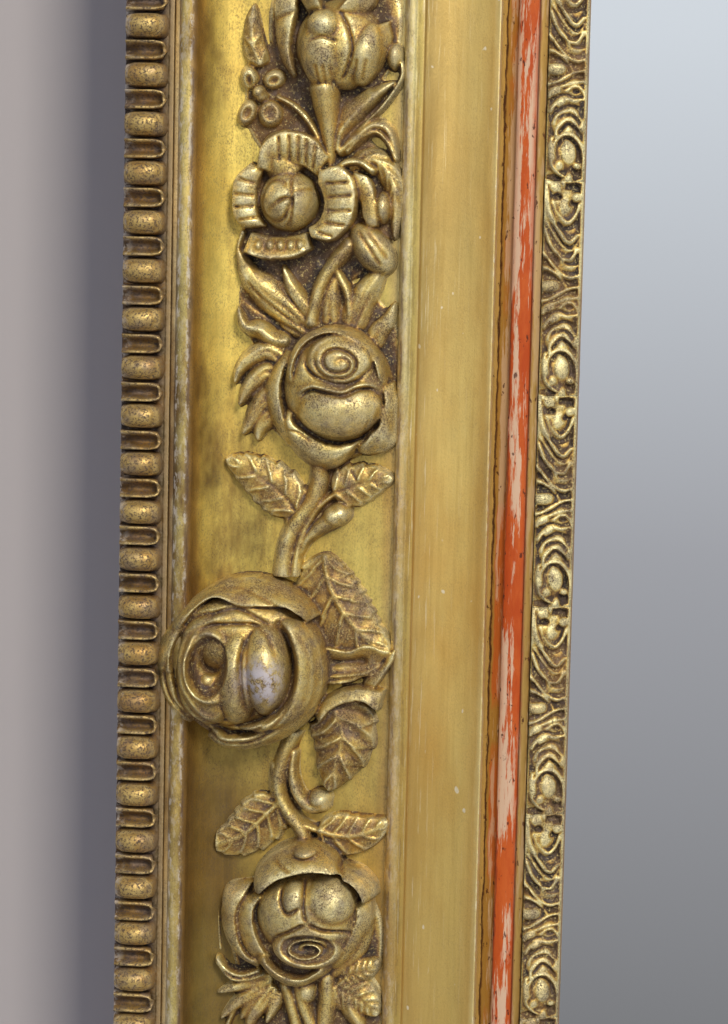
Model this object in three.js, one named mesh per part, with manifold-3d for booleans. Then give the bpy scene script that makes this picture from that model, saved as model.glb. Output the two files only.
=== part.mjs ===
// A pier mirror: a tall looking glass in a gilt pine frame, hung flat against a wall.
// The section of the frame runs, from its outer edge inwards: a gadrooned moulding, an astragal,
// a cove, a flat frieze that carries a garland of pressed roses, a listel, a plain gilt hollow,
// a red slip, and a pressed ornament at the sight edge.
// Everything is laid out on the bench, lying on its back: x across, y up the wall, z towards the
// room, with z = 0 at the wall. The last lines stand it upright. Millimetres.
import * as THREE from "three";
import { mergeVertices } from "three/addons/utils/BufferGeometryUtils.js";
import Module from "manifold-3d";

const wasm = await Module();
wasm.setup();

// ---- Overall size ----
const FRAME_HEIGHT = 1840;
const FRAME_WIDTH = 1040;

// ---- Widths across the section, from the outer edge to the glass ----
const GADROON_WIDTH = 15;
const GADROON_OVERHANG = 2; // the gadrooned moulding stands past the carcass's side
const QUIRK_WIDTH = 1.8;
const ASTRAGAL_WIDTH = 5.7;
const COVE_WIDTH = 14;
const FRIEZE_WIDTH = 47;
const LISTEL_BEAD_WIDTH = 3.5;
const LISTEL_STEP_WIDTH = 2.5;
const HOLLOW_WIDTH = 22.5;
const SLIP_STEP_WIDTH = 5; // the brown step between the hollow and the red band
const RED_WIDTH = 6.5;
const RED_LISTEL_WIDTH = 2.5;
const SIGHT_WIDTH = 12;
const BACK_BAND_WIDTH = 45; // the part of the back that bears on the wall
const REBATE_LAP = 6.5; // the slip, boards and glass run this far behind the hollow

// ---- Thicknesses, from the wall towards the room ----
const BACK_RECESS = 14; // room for the hangers between the carcass and the wall
const BOARD_THICKNESS = 8;
const SPACER_THICKNESS = 3;
const SPACER_WIDTH = 14;
const GLASS_THICKNESS = 5;
const GLASS_MARGIN = 2.5; // between the glass's edge and the rebate's side
const SLIP_FLANGE = 8;
const HOLLOW_LIP = 9; // the hollow's inner edge over the rebate's shoulder
const HOLLOW_DIP = 3.2;
const LISTEL_HEIGHT = 2.4;
const FRIEZE_RISE = 9.5; // the frieze over the rebate's shoulder
const COVE_RISE = 13;
const COVE_SAG = 3.4;
const ASTRAGAL_CROWN = 1.8;
const QUIRK_DEPTH = 6;
const GADROON_SEAT_DROP = 8; // the gadrooned moulding's seat, below the astragal
const GADROON_BASE = 7;
const GADROON_CROWN = 8;
const SIGHT_CROWN = 3;
const SIGHT_DROP = 5; // the slip falls this far towards the glass
const RED_CROWN = 0.8;

// ---- Ornament ----
const GADROON_PITCH = 14.5;
const GADROON_NOTCH = 0.44; // share of the pitch that the sunk loop takes at the outer edge
const GADROON_INSET = 4; // length of each cushion's sloping ends
const GADROON_TIE = 12; // gadroons between two ties of the moulding's lower edge
const SIGHT_PITCH = 32.5;
const SIGHT_BASE = 1.2;
const SIGHT_INSET = 3.5;
const SPRIG_LENGTH = 200; // as pressed; each run is eased to fit its side
const BOSS_REACH = 26; // from the middle of a side to the first sprig
const CORNER_REACH = 35; // from the last sprig to the corner's centre
const GARLAND_SHARE = 0.48; // the garland's line, as a share of the frieze from its outer side
const BOSS_RADIUS = 24;
const BOSS_HEIGHT = 31;
const BOSS_LEAN = -17; // the boss rose sits this far outwards of the garland's line
const ROSE_RADIUS = 15.5;
const ROSE_HEIGHT = 17;
const SMALL_ROSE_RADIUS = 12;
const SMALL_ROSE_HEIGHT = 13;
const BUD_SIZE = 2; // against a leaf
const LEAF_HALF_WIDTH = 6.5;
const LEAF_RISE = 4.6;
const STEM_HALF_WIDTH = 3;
const STEM_RISE = 4.2;
const CORNER_ROSE_RADIUS = 19;
const CORNER_ROSE_HEIGHT = 22;
const PETAL_NOTCH = 0.12; // share of a rose's radius

// ---- Fastenings ----
const GAP = 0.3; // between any piece and its seat
const KEY_HALF_LENGTH = 15;
const KEY_END_HALF_WIDTH = 8;
const KEY_WAIST_HALF_WIDTH = 4.5;
const KEY_DEPTH = 10;
const RING_WIRE = 2.3; // radius
const RING_HALF_WIDTH = 15;
const RING_LEG = 14; // from the bar to the start of the round end
const STRAP_WIDTH = 18;
const STRAP_LENGTH = 60; // from the pivot to the middle of its round end
const STRAP_THICKNESS = 2;
const EYE_WALL = 1.9;
const EYE_RADIUS = 2.65;
const HANGER_DROP = 300; // the hangers' pivots, below the top of the frame
const STRAP_SCREW_NEAR = 39; // from the hanger's pivot, clear of the hanging ring
const STRAP_SCREW_FAR = 59;
const SCREW_SHANK = 1.8; // radius
const SCREW_HEAD = 3.6;
const SCREW_HEAD_DEPTH = 1.8;
const SCREW_LENGTH = 16;
const BUTTON_LENGTH = 36;
const BUTTON_WIDTH = 11;
const BUTTON_THICKNESS = 3;
const BUTTON_INSET = 8.5; // its pivot, from the rebate
const BUTTON_SHARE = 0.3; // the pivots stand this share of the height in from each end
const TONGUE = 5;
const TONGUE_THICKNESS = 3;
const BOARD_COUNT = 3;

// ---- Places that follow from the sizes ----
const uQuirk = GADROON_WIDTH;
const uAstragal = uQuirk + QUIRK_WIDTH;
const uCove = uAstragal + ASTRAGAL_WIDTH;
const uFrieze = uCove + COVE_WIDTH;
const uListel = uFrieze + FRIEZE_WIDTH;
const uListelStep = uListel + LISTEL_BEAD_WIDTH;
const uHollow = uListelStep + LISTEL_STEP_WIDTH;
const uHollowEnd = uHollow + HOLLOW_WIDTH;
const uRed = uHollowEnd + SLIP_STEP_WIDTH;
const uRedListel = uRed + RED_WIDTH;
const uSight = uRedListel + RED_LISTEL_WIDTH;
const uEdge = uSight + SIGHT_WIDTH;
const uRebate = uHollowEnd - REBATE_LAP;
const uBand = GADROON_OVERHANG + BACK_BAND_WIDTH;
const uGarland = uFrieze + GARLAND_SHARE * FRIEZE_WIDTH;
const uHanger = (uBand + uRebate) / 2;
const uButton = uRebate - BUTTON_INSET;

const wBoard = BACK_RECESS;
const wSpacer = wBoard + BOARD_THICKNESS;
const wGlass = wSpacer + SPACER_THICKNESS;
const wSlip = wGlass + GLASS_THICKNESS;
const wShoulder = wSlip + SLIP_FLANGE;
const wHollowLip = wShoulder + HOLLOW_LIP;
const wFrieze = wShoulder + FRIEZE_RISE;
const wListel = wFrieze + LISTEL_HEIGHT;
const wAstragal = wFrieze + COVE_RISE;
const wGadroon = wAstragal - GADROON_SEAT_DROP;
const wRed = wShoulder + HOLLOW_LIP / 3;

const PALETTE = {
  gilt: { color: 0xb8924a, roughness: 0.38, metalness: 0.85 },
  agedGilt: { color: 0x8c6a35, roughness: 0.48, metalness: 0.8 },
  redBole: { color: 0xb4562f, roughness: 0.6, metalness: 0 },
  pine: { color: 0xa98155, roughness: 0.8, metalness: 0 },
  oak: { color: 0x7d5a38, roughness: 0.75, metalness: 0 },
  silvered: { color: 0xc9cdd2, roughness: 0.03, metalness: 1 },
  iron: { color: 0x4a4743, roughness: 0.55, metalness: 0.9 },
  brass: { color: 0xa8843f, roughness: 0.4, metalness: 0.9 },
};

// ---- Shape helpers ----
// A closed three.js geometry as a solid that can be joined and cut.
function solidOf(geometry) {
  const bare = geometry.clone();
  bare.deleteAttribute("normal");
  bare.deleteAttribute("uv");
  const merged = mergeVertices(bare, 1e-4);
  return new wasm.Manifold(
    new wasm.Mesh({
      numProp: 3,
      vertProperties: merged.attributes.position.array,
      triVerts: new Uint32Array(merged.index.array),
    }),
  );
}

// A solid back as a flat-shaded three.js geometry.
function geometryOf(solid) {
  const mesh = solid.getMesh();
  const indexed = new THREE.BufferGeometry()
    .setAttribute("position", new THREE.BufferAttribute(mesh.vertProperties, 3))
    .setIndex(new THREE.BufferAttribute(mesh.triVerts, 1));
  const geometry = indexed.toNonIndexed();
  geometry.computeVertexNormals();
  return geometry;
}

// A geometry from corner points and triangles.
function facets(points, triangles) {
  const geometry = new THREE.BufferGeometry();
  geometry.setAttribute("position", new THREE.Float32BufferAttribute(points.flat(), 3));
  geometry.setIndex(triangles.flat());
  const flat = geometry.toNonIndexed();
  flat.computeVertexNormals();
  return flat;
}

// The points of a round stretch from a to b that bows `rise` to the left of the way there; a is left out.
function bowed(a, b, rise, steps) {
  const dx = b[0] - a[0];
  const dy = b[1] - a[1];
  const chord = Math.hypot(dx, dy);
  const bow = Math.abs(rise);
  const radius = (chord * chord / 4 + bow * bow) / (2 * bow);
  const half = Math.asin(Math.min(1, chord / (2 * radius)));
  const points = [];
  for (let i = 1; i <= steps; i++) {
    const angle = -half + (2 * half * i) / steps;
    const along = chord / 2 + radius * Math.sin(angle);
    const out = Math.sign(rise) * (radius * Math.cos(angle) - (radius - bow));
    points.push([a[0] + (dx * along - dy * out) / chord, a[1] + (dy * along + dx * out) / chord]);
  }
  points[steps - 1] = [...b];
  return points;
}

// A length of moulding with mitred ends. The profile holds [distance from the outer edge, height].
function mitredLength(profile, length) {
  const area = THREE.ShapeUtils.area(profile.map(([u, w]) => new THREE.Vector2(u, w)));
  const outline = area > 0 ? profile : [...profile].reverse();
  const ease = (GAP / 2) * Math.SQRT2;
  const near = outline.map(([u, w]) => [u + ease, u, w]);
  const far = outline.map(([u, w]) => [length - u - ease, u, w]);
  const n = outline.length;
  const cap = THREE.ShapeUtils.triangulateShape(outline.map(([u, w]) => new THREE.Vector2(u, w)), []);
  const triangles = [];
  for (const [a, b, c] of cap) triangles.push([a, c, b], [n + a, n + b, n + c]);
  for (let i = 0; i < n; i++) {
    const j = (i + 1) % n;
    triangles.push([i, j, n + j], [i, n + j, n + i]);
  }
  return facets([...near, ...far], triangles);
}

// A moulding whose top is a row of hipped cushions. They meet along the inner edge and leave a
// V-shaped notch between them at the outer one, `notch` of the pitch wide.
function cushionedLength({ outer, inner, bottom, top, length, pitch, crown, inset, notch, tie }) {
  const ease = (GAP / 2) * Math.SQRT2;
  const count = Math.round((length - 2 * inner) / pitch);
  const points = [];
  const triangles = [];
  const add = (share, u, w) => {
    const start = u + ease;
    return points.push([start + share * (length - 2 * start), u, w]) - 1;
  };
  const outerTop = [add(0, outer, top)];
  const innerTop = [add(0, inner, top)];
  for (let k = 0; k < count; k++) {
    const lead = k === 0 ? 0 : notch / 2;
    const trail = k === count - 1 ? 0 : notch / 2;
    if (lead > 0) {
      outerTop.push(add((k + lead) / count, outer, top));
      triangles.push([outerTop.at(-2), outerTop.at(-1), innerTop.at(-1)]);
    }
    const [o0, i0] = [outerTop.at(-1), innerTop.at(-1)];
    const o1 = add((k + 1 - trail) / count, outer, top);
    const i1 = add((k + 1) / count, inner, top);
    const a = add((k + 0.5) / count, outer + inset, top + crown);
    const b = add((k + 0.5) / count, inner - inset, top + crown);
    outerTop.push(o1);
    innerTop.push(i1);
    triangles.push([o0, o1, a], [o1, i1, b], [o1, b, a], [i1, i0, b], [i0, o0, a], [i0, a, b]);
  }
  // The lower edges are tied in only every few cushions, which keeps the flat sides light.
  const stops = Math.ceil(count / tie);
  const wall = (edge, u, flip) => {
    const low = Array.from({ length: stops + 1 }, (_, j) => add(j / stops, u, bottom));
    const near = (j) => Math.round((j * (edge.length - 1)) / stops);
    const push = (a, b, c) => triangles.push(flip ? [a, c, b] : [a, b, c]);
    for (let j = 0; j < stops; j++) {
      const middle = Math.floor((near(j) + near(j + 1)) / 2);
      for (let i = near(j); i < near(j + 1); i++) push(low[i < middle ? j : j + 1], edge[i + 1], edge[i]);
      push(low[j], low[j + 1], edge[middle]);
    }
    return low;
  };
  const outerLow = wall(outerTop, outer, false);
  const innerLow = wall(innerTop, inner, true);
  for (let j = 0; j < stops; j++) {
    triangles.push([outerLow[j], innerLow[j + 1], outerLow[j + 1]]);
    triangles.push([outerLow[j], innerLow[j], innerLow[j + 1]]);
  }
  triangles.push([outerLow[0], outerTop[0], innerTop[0]], [outerLow[0], innerTop[0], innerLow[0]]);
  triangles.push([outerLow.at(-1), innerTop.at(-1), outerTop.at(-1)]);
  triangles.push([outerLow.at(-1), innerLow.at(-1), innerTop.at(-1)]);
  return facets(points, triangles);
}

const moved = (solid, x, y, z = 0) => solid.translate([x, y, z]);
const turned = (solid, degrees) => solid.rotate([0, 0, degrees]);

function cylinderSolid(radius, low, high, sides) {
  const geometry = new THREE.CylinderGeometry(radius, radius, high - low, sides).rotateX(Math.PI / 2);
  return solidOf(geometry).translate([0, 0, (low + high) / 2]);
}

function boxSolid(x0, x1, y0, y1, z0, z1) {
  const geometry = new THREE.BoxGeometry(x1 - x0, y1 - y0, z1 - z0);
  return solidOf(geometry).translate([(x0 + x1) / 2, (y0 + y1) / 2, (z0 + z1) / 2]);
}

// A turned solid about z, its profile given as [radius, height] from the axis round to the axis.
function turnedForm(profile, sides) {
  const points = profile.map(([r, z]) => new THREE.Vector2(r, z));
  return solidOf(new THREE.LatheGeometry(points, sides).rotateX(Math.PI / 2));
}

const union = (solids) => wasm.Manifold.union(solids);

// ---- The carcass: a built-up pine moulding, rebated from the back ----
const carcassProfile = [
  [GADROON_OVERHANG, 0],
  [uBand, 0],
  [uBand, BACK_RECESS],
  [uRebate, BACK_RECESS],
  [uRebate, wShoulder],
  [uHollowEnd, wShoulder],
  [uHollowEnd, wHollowLip],
  ...bowed([uHollowEnd, wHollowLip], [uHollow, wHollowLip + 1], HOLLOW_DIP, 7),
  [uHollow, wListel],
  [uListelStep, wListel],
  ...bowed([uListelStep, wListel], [uListel, wListel], -ASTRAGAL_CROWN / 2, 3),
  [uListel, wFrieze],
  [uFrieze, wFrieze],
  ...bowed([uFrieze, wFrieze], [uCove, wAstragal - 1], COVE_SAG, 6),
  [uCove, wAstragal],
  ...bowed([uCove, wAstragal], [uAstragal, wAstragal], -ASTRAGAL_CROWN, 4),
  [uAstragal, wAstragal - QUIRK_DEPTH],
  [uQuirk + GAP, wAstragal - QUIRK_DEPTH],
  [uQuirk + GAP, wGadroon],
  [GADROON_OVERHANG, wGadroon],
];

// A butterfly key, grown all round for the pocket that it is let into.
function keySolid(grow, low, high) {
  const half = KEY_HALF_LENGTH + grow;
  const end = KEY_END_HALF_WIDTH + grow;
  const waist = KEY_WAIST_HALF_WIDTH + grow;
  const outline = [[-half, -end], [0, -waist], [half, -end], [half, end], [0, waist], [-half, end]];
  const shape = new THREE.Shape(outline.map(([x, y]) => new THREE.Vector2(x, y)));
  const geometry = new THREE.ExtrudeGeometry(shape, { depth: high - low, bevelEnabled: false });
  return solidOf(geometry).translate([0, 0, low]);
}

const keyCentre = (GADROON_OVERHANG + uBand) / 2;

// The hole that a wood screw leaves, open at the recessed back and as deep as the screw.
function screwHole(x, y) {
  const hole = cylinderSolid(SCREW_SHANK + GAP, BACK_RECESS - 1, BACK_RECESS + SCREW_LENGTH, 8);
  return moved(hole, x, y);
}

function carcass(length, holes) {
  const pocket = keySolid(GAP, -1, KEY_DEPTH + GAP);
  const cuts = [
    moved(turned(pocket, -45), keyCentre, keyCentre),
    moved(turned(pocket, 45), length - keyCentre, keyCentre),
    ...holes.map(([x, y]) => screwHole(x, y)),
  ];
  return geometryOf(solidOf(mitredLength(carcassProfile, length)).subtract(union(cuts)));
}

// ---- The slip: the inner frame with the red band, dropped in from the back ----
const slipProfile = [
  [uRebate + GAP, wSlip],
  [uEdge, wSlip],
  [uEdge, wRed - SIGHT_DROP],
  [uSight, wRed],
  [uSight, wRed + 1.2],
  [uRedListel, wRed + 1.2],
  [uRedListel, wRed],
  ...bowed([uRedListel, wRed], [uRed, wRed], -RED_CROWN, 4),
  [uRed, wRed - 1.5],
  [uHollowEnd + GAP, wShoulder - GAP],
  [uRebate + GAP, wShoulder - GAP],
];

// ---- Pressed ornament, each form lying on z = 0 and pointing along x ----
// A folded leaf: a pointed oval with a raised midrib.
function leaf(length, halfWidth, rise) {
  const broad = 0.42 * length;
  const points = [[0, 0, 0], [broad, halfWidth, 0], [length, 0, 0], [broad, -halfWidth, 0], [broad, 0, rise]];
  const triangles = [[0, 3, 4], [3, 2, 4], [2, 1, 4], [1, 0, 4], [0, 1, 2], [0, 2, 3]];
  return solidOf(facets(points, triangles));
}

// A leaf laid from one place to another.
function leafBetween([x0, y0], [x1, y1], halfWidth, rise) {
  const length = Math.hypot(x1 - x0, y1 - y0);
  const angle = (Math.atan2(y1 - y0, x1 - x0) * 180) / Math.PI;
  return moved(turned(leaf(length, halfWidth, rise), angle), x0, y0);
}

// A stem of triangular section through a few places.
function stem(places, halfWidth, rise) {
  const points = [];
  const triangles = [];
  places.forEach(([x, y], i) => {
    const before = places[Math.max(0, i - 1)];
    const after = places[Math.min(places.length - 1, i + 1)];
    const span = Math.hypot(after[0] - before[0], after[1] - before[1]);
    const nx = (-(after[1] - before[1]) / span) * halfWidth;
    const ny = ((after[0] - before[0]) / span) * halfWidth;
    points.push([x + nx, y + ny, 0], [x, y, rise], [x - nx, y - ny, 0]);
    if (i === 0) return;
    const a = 3 * (i - 1);
    const b = 3 * i;
    for (let k = 0; k < 3; k++) {
      const next = (k + 1) % 3;
      triangles.push([a + k, a + next, b + next], [a + k, b + next, b + k]);
    }
  });
  const end = 3 * (places.length - 1);
  triangles.push([0, 2, 1], [end, end + 1, end + 2]);
  return solidOf(facets(points, triangles));
}

// A turned form whose outline is notched between its petals.
function petalled(profile, petals) {
  const points = profile.map(([r, z]) => new THREE.Vector2(r, z));
  const geometry = new THREE.LatheGeometry(points, 2 * petals).rotateX(Math.PI / 2);
  const position = geometry.attributes.position;
  for (let i = 0; i < position.count; i++) {
    const angle = Math.atan2(position.getY(i), position.getX(i));
    const reach = 1 - PETAL_NOTCH * (0.5 - 0.5 * Math.cos(petals * angle));
    position.setXY(i, position.getX(i) * reach, position.getY(i) * reach);
  }
  return solidOf(geometry);
}

// A rose: a cup of outer petals that closes over a sunk heart.
function rose(radius, height, petals) {
  return petalled([[0, 0], [radius, 0], [radius * 0.6, height], [0, height * 0.74]], petals);
}

// One pressed sprig, x running away from the boss and y towards the glass. Places along it are
// shares of its length, and those across it are shares of the frieze's width.
function sprig() {
  const at = (along, across) => [along * SPRIG_LENGTH, across * FRIEZE_WIDTH];
  const laidLeaf = (from, to, size) => leafBetween(from, to, size * LEAF_HALF_WIDTH, size * LEAF_RISE);
  return union([
    stem([at(-0.02, -0.17), at(0.285, 0.13), at(0.56, -0.12), at(1, -0.17)], STEM_HALF_WIDTH, STEM_RISE),
    laidLeaf(at(0.09, -0.06), at(0.185, -0.47), 1.1),
    laidLeaf(at(0.08, -0.08), at(0.155, 0.51), 1),
    moved(rose(ROSE_RADIUS, ROSE_HEIGHT, 4), ...at(0.285, 0.14)),
    laidLeaf(at(0.4, 0), at(0.505, 0.4), 1),
    moved(rose(SMALL_ROSE_RADIUS, SMALL_ROSE_HEIGHT, 3), ...at(0.565, -0.11)),
    laidLeaf(at(0.69, -0.15), at(0.91, 0.17), BUD_SIZE),
  ]);
}

// A run of sprigs from the boss at the middle of a side to the corner.
function garland(halfLength) {
  const room = halfLength - BOSS_REACH - CORNER_REACH;
  const count = Math.max(1, Math.round(room / SPRIG_LENGTH));
  const eased = sprig().scale([room / count / SPRIG_LENGTH, 1, 1]);
  const sprigs = [];
  for (let i = 0; i < count; i++) sprigs.push(moved(eased, BOSS_REACH + (i * room) / count, 0));
  const start = BOSS_REACH - STEM_HALF_WIDTH;
  const side = FRIEZE_WIDTH;
  return union(sprigs).intersect(boxSolid(start, BOSS_REACH + room, -side, side, -1, side));
}

// The large rose at the middle of a side, with its leaves on the glass side.
function boss() {
  const profile = [
    [0, 0],
    [BOSS_RADIUS * 0.72, 0],
    [BOSS_RADIUS, BOSS_HEIGHT * 0.6],
    [BOSS_RADIUS * 0.86, BOSS_HEIGHT * 0.84],
    [BOSS_RADIUS * 0.46, BOSS_HEIGHT],
    [0, BOSS_HEIGHT * 0.74],
  ];
  const root = -BOSS_RADIUS * 0.4;
  const side = BOSS_REACH - 1.3 * STEM_HALF_WIDTH;
  const tip = 0.48 * FRIEZE_WIDTH;
  return union([
    moved(petalled(profile, 5), 0, BOSS_LEAN),
    leafBetween([3, root], [side, tip], 1.2 * LEAF_HALF_WIDTH, 1.5 * LEAF_RISE),
    leafBetween([-3, root], [-side, tip], 1.2 * LEAF_HALF_WIDTH, 1.5 * LEAF_RISE),
    leafBetween([0, root], [3, tip], 1.1 * LEAF_HALF_WIDTH, 2.2 * LEAF_RISE),
  ]);
}

// The corner's rose with a leaf along each side and one into and one out of the corner.
function cornerRose() {
  const root = 0.4 * CORNER_ROSE_RADIUS;
  const reach = CORNER_REACH - 2;
  const inner = 0.47 * FRIEZE_WIDTH;
  const laidLeaf = (from, to) => leafBetween(from, to, 1.2 * LEAF_HALF_WIDTH, 1.3 * LEAF_RISE);
  return union([
    rose(CORNER_ROSE_RADIUS, CORNER_ROSE_HEIGHT, 5),
    laidLeaf([root, 0], [reach, root]),
    laidLeaf([0, root], [root, reach]),
    laidLeaf([root, root], [inner, inner]),
    laidLeaf([-root, -root], [-0.9 * inner, -0.9 * inner]),
  ]);
}

// ---- Hangers ----
// The closed D-shaped ring, its straight bar along x through the origin and its end towards -y.
function ringGeometry() {
  const sides = 6;
  const endSteps = 8;
  const path = [[-RING_HALF_WIDTH, 0], [RING_HALF_WIDTH, 0], [RING_HALF_WIDTH, -RING_LEG]];
  for (let i = 1; i <= endSteps; i++) {
    const angle = (Math.PI * i) / endSteps;
    path.push([RING_HALF_WIDTH * Math.cos(angle), -RING_LEG - RING_HALF_WIDTH * Math.sin(angle)]);
  }
  const n = path.length;
  const points = [];
  const triangles = [];
  for (let i = 0; i < n; i++) {
    const here = new THREE.Vector2(...path[i]);
    const into = here.clone().sub(new THREE.Vector2(...path[(i + n - 1) % n])).normalize();
    const out = new THREE.Vector2(...path[(i + 1) % n]).sub(here).normalize();
    const way = into.clone().add(out).normalize();
    const widen = 1 / Math.max(0.5, way.dot(out));
    for (let k = 0; k < sides; k++) {
      const angle = ((k + 0.5) / sides) * 2 * Math.PI;
      const across = RING_WIRE * Math.cos(angle) * widen;
      points.push([here.x + way.y * across, here.y - way.x * across, RING_WIRE * Math.sin(angle)]);
      const a = i * sides + k;
      const b = i * sides + ((k + 1) % sides);
      const c = ((i + 1) % n) * sides + ((k + 1) % sides);
      const d = ((i + 1) % n) * sides + k;
      triangles.push([a, c, b], [a, d, c]);
    }
  }
  return facets(points, triangles);
}

const eyeOuter = EYE_RADIUS + EYE_WALL;
const pivotHeight = eyeOuter + GAP; // the ring's axis behind the carcass's recessed back

// The strap: a plate below the pivot whose upper end is rolled into an eye. z = 0 on the carcass.
function strapGeometry() {
  const eye = cylinderSolid(eyeOuter, -STRAP_WIDTH / 2, STRAP_WIDTH / 2, 12)
    .rotate([0, 90, 0])
    .translate([0, 0, pivotHeight]);
  const bore = cylinderSolid(EYE_RADIUS, -STRAP_WIDTH, STRAP_WIDTH, 12)
    .rotate([0, 90, 0])
    .translate([0, 0, pivotHeight]);
  const half = STRAP_WIDTH / 2;
  const plate = boxSolid(-half, half, -STRAP_LENGTH, 0, GAP, GAP + STRAP_THICKNESS);
  const round = cylinderSolid(half, GAP, GAP + STRAP_THICKNESS, 12).translate([0, -STRAP_LENGTH, 0]);
  const drill = cylinderSolid(SCREW_SHANK + GAP, -1, 9, 8);
  const holes = [STRAP_SCREW_NEAR, STRAP_SCREW_FAR].map((y) => moved(drill, 0, -y));
  return geometryOf(union([eye, plate, round]).subtract(union([bore, ...holes])));
}

// A wood screw driven along -z from a head that rests at z = seat.
function screwGeometry(seat) {
  const head = seat + GAP;
  return geometryOf(
    turnedForm(
      [
        [0, seat - SCREW_LENGTH],
        [SCREW_SHANK, seat - SCREW_LENGTH + SCREW_SHANK * 1.5],
        [SCREW_SHANK, head],
        [SCREW_HEAD, head],
        [SCREW_HEAD * 0.8, head + SCREW_HEAD_DEPTH],
        [0, head + SCREW_HEAD_DEPTH],
      ],
      6,
    ),
  );
}

// ---- Turn button: a slotted brass tab on a screw, its pivot at the origin and its tab along x ----
function buttonGeometry() {
  const half = BUTTON_WIDTH / 2;
  const shape = new THREE.Shape();
  shape.absarc(0, 0, half, Math.PI / 2, (3 * Math.PI) / 2, false);
  shape.absarc(BUTTON_LENGTH - BUTTON_WIDTH, 0, half, -Math.PI / 2, Math.PI / 2, false);
  const hole = new THREE.Path();
  hole.absarc(0, 0, SCREW_SHANK + GAP, 0, 2 * Math.PI, true);
  shape.holes.push(hole);
  const geometry = new THREE.ExtrudeGeometry(shape, {
    depth: BUTTON_THICKNESS,
    bevelEnabled: false,
    curveSegments: 4,
  });
  return geometryOf(solidOf(geometry).translate([0, 0, GAP]));
}

// ---- Boards, glass and spacers ----
const openingWidth = FRAME_WIDTH - 2 * uRebate;
const openingHeight = FRAME_HEIGHT - 2 * uRebate;

// One backboard, tongued on its upper edge and grooved on its lower one where another board meets it.
function boardGeometry(height, { tongue, groove }) {
  const low = wBoard;
  const high = wSpacer - GAP;
  const middle = (low + high) / 2;
  const half = TONGUE_THICKNESS / 2;
  const outline = [[0, low], [0, high]];
  outline.push([height, high]);
  if (tongue) {
    outline.push([height, middle + half], [height + TONGUE, middle + half]);
    outline.push([height + TONGUE, middle - half], [height, middle - half]);
  }
  outline.push([height, low]);
  if (groove) {
    const cheek = half + GAP;
    const depth = TONGUE + GAP;
    const cut = [[0, middle - cheek], [depth, middle - cheek], [depth, middle + cheek], [0, middle + cheek]];
    outline.splice(1, 0, ...cut);
  }
  const shape = new THREE.Shape(outline.map(([y, z]) => new THREE.Vector2(y, z)));
  const width = openingWidth - 2 * GAP;
  const geometry = new THREE.ExtrudeGeometry(shape, { depth: width, bevelEnabled: false });
  // The outline's own x and y become the bench's y and z, and its depth the bench's x.
  const x = new THREE.Vector3(1, 0, 0);
  const y = new THREE.Vector3(0, 1, 0);
  const z = new THREE.Vector3(0, 0, 1);
  return geometry.applyMatrix4(new THREE.Matrix4().makeBasis(y, z, x)).translate(-width / 2, 0, 0);
}

const boxGeometry = (x0, x1, y0, y1, z0, z1) =>
  new THREE.BoxGeometry(x1 - x0, y1 - y0, z1 - z0).translate((x0 + x1) / 2, (y0 + y1) / 2, (z0 + z1) / 2);

// ---- Assembly ----
const mirror = new THREE.Group();

const materials = Object.fromEntries(
  Object.entries(PALETTE).map(([name, look]) => [name, new THREE.MeshStandardMaterial(look)]),
);

function place(parent, name, geometry, material, x = 0, y = 0, z = 0) {
  const mesh = new THREE.Mesh(geometry, materials[material]);
  mesh.name = name;
  mesh.position.set(x, y, z);
  parent.add(mesh);
  return mesh;
}

// Each side has its own group: x runs along the side, y inwards and z towards the room. The sides
// follow each other anticlockwise as seen from the room, starting with the bottom rail.
const sides = [
  { name: "bottom", piece: "rail", length: FRAME_WIDTH, at: [-FRAME_WIDTH / 2, 0] },
  { name: "right", piece: "stile", length: FRAME_HEIGHT, at: [FRAME_WIDTH / 2, 0] },
  { name: "top", piece: "rail", length: FRAME_WIDTH, at: [FRAME_WIDTH / 2, FRAME_HEIGHT] },
  { name: "left", piece: "stile", length: FRAME_HEIGHT, at: [-FRAME_WIDTH / 2, FRAME_HEIGHT] },
];

const buttonPlaces = [BUTTON_SHARE, 1 - BUTTON_SHARE].map((share) => share * FRAME_HEIGHT);
const strapScrewPlaces = [STRAP_SCREW_NEAR, STRAP_SCREW_FAR];

// The holes of the right stile, whose own x runs up it; the left stile's runs down.
function stileHoles(upwards) {
  const fromTop = (drop) => (upwards ? FRAME_HEIGHT - drop : drop);
  return [
    ...buttonPlaces.map((s) => [s, uButton]),
    ...strapScrewPlaces.map((drop) => [fromTop(HANGER_DROP + drop), uHanger]),
  ];
}

const garlands = {
  stile: garland(FRAME_HEIGHT / 2 - uGarland),
  rail: garland(FRAME_WIDTH / 2 - uGarland),
};
const halfNames = {
  bottom: ["left", "right"],
  right: ["lower", "upper"],
  top: ["right", "left"],
  left: ["upper", "lower"],
};

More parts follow.
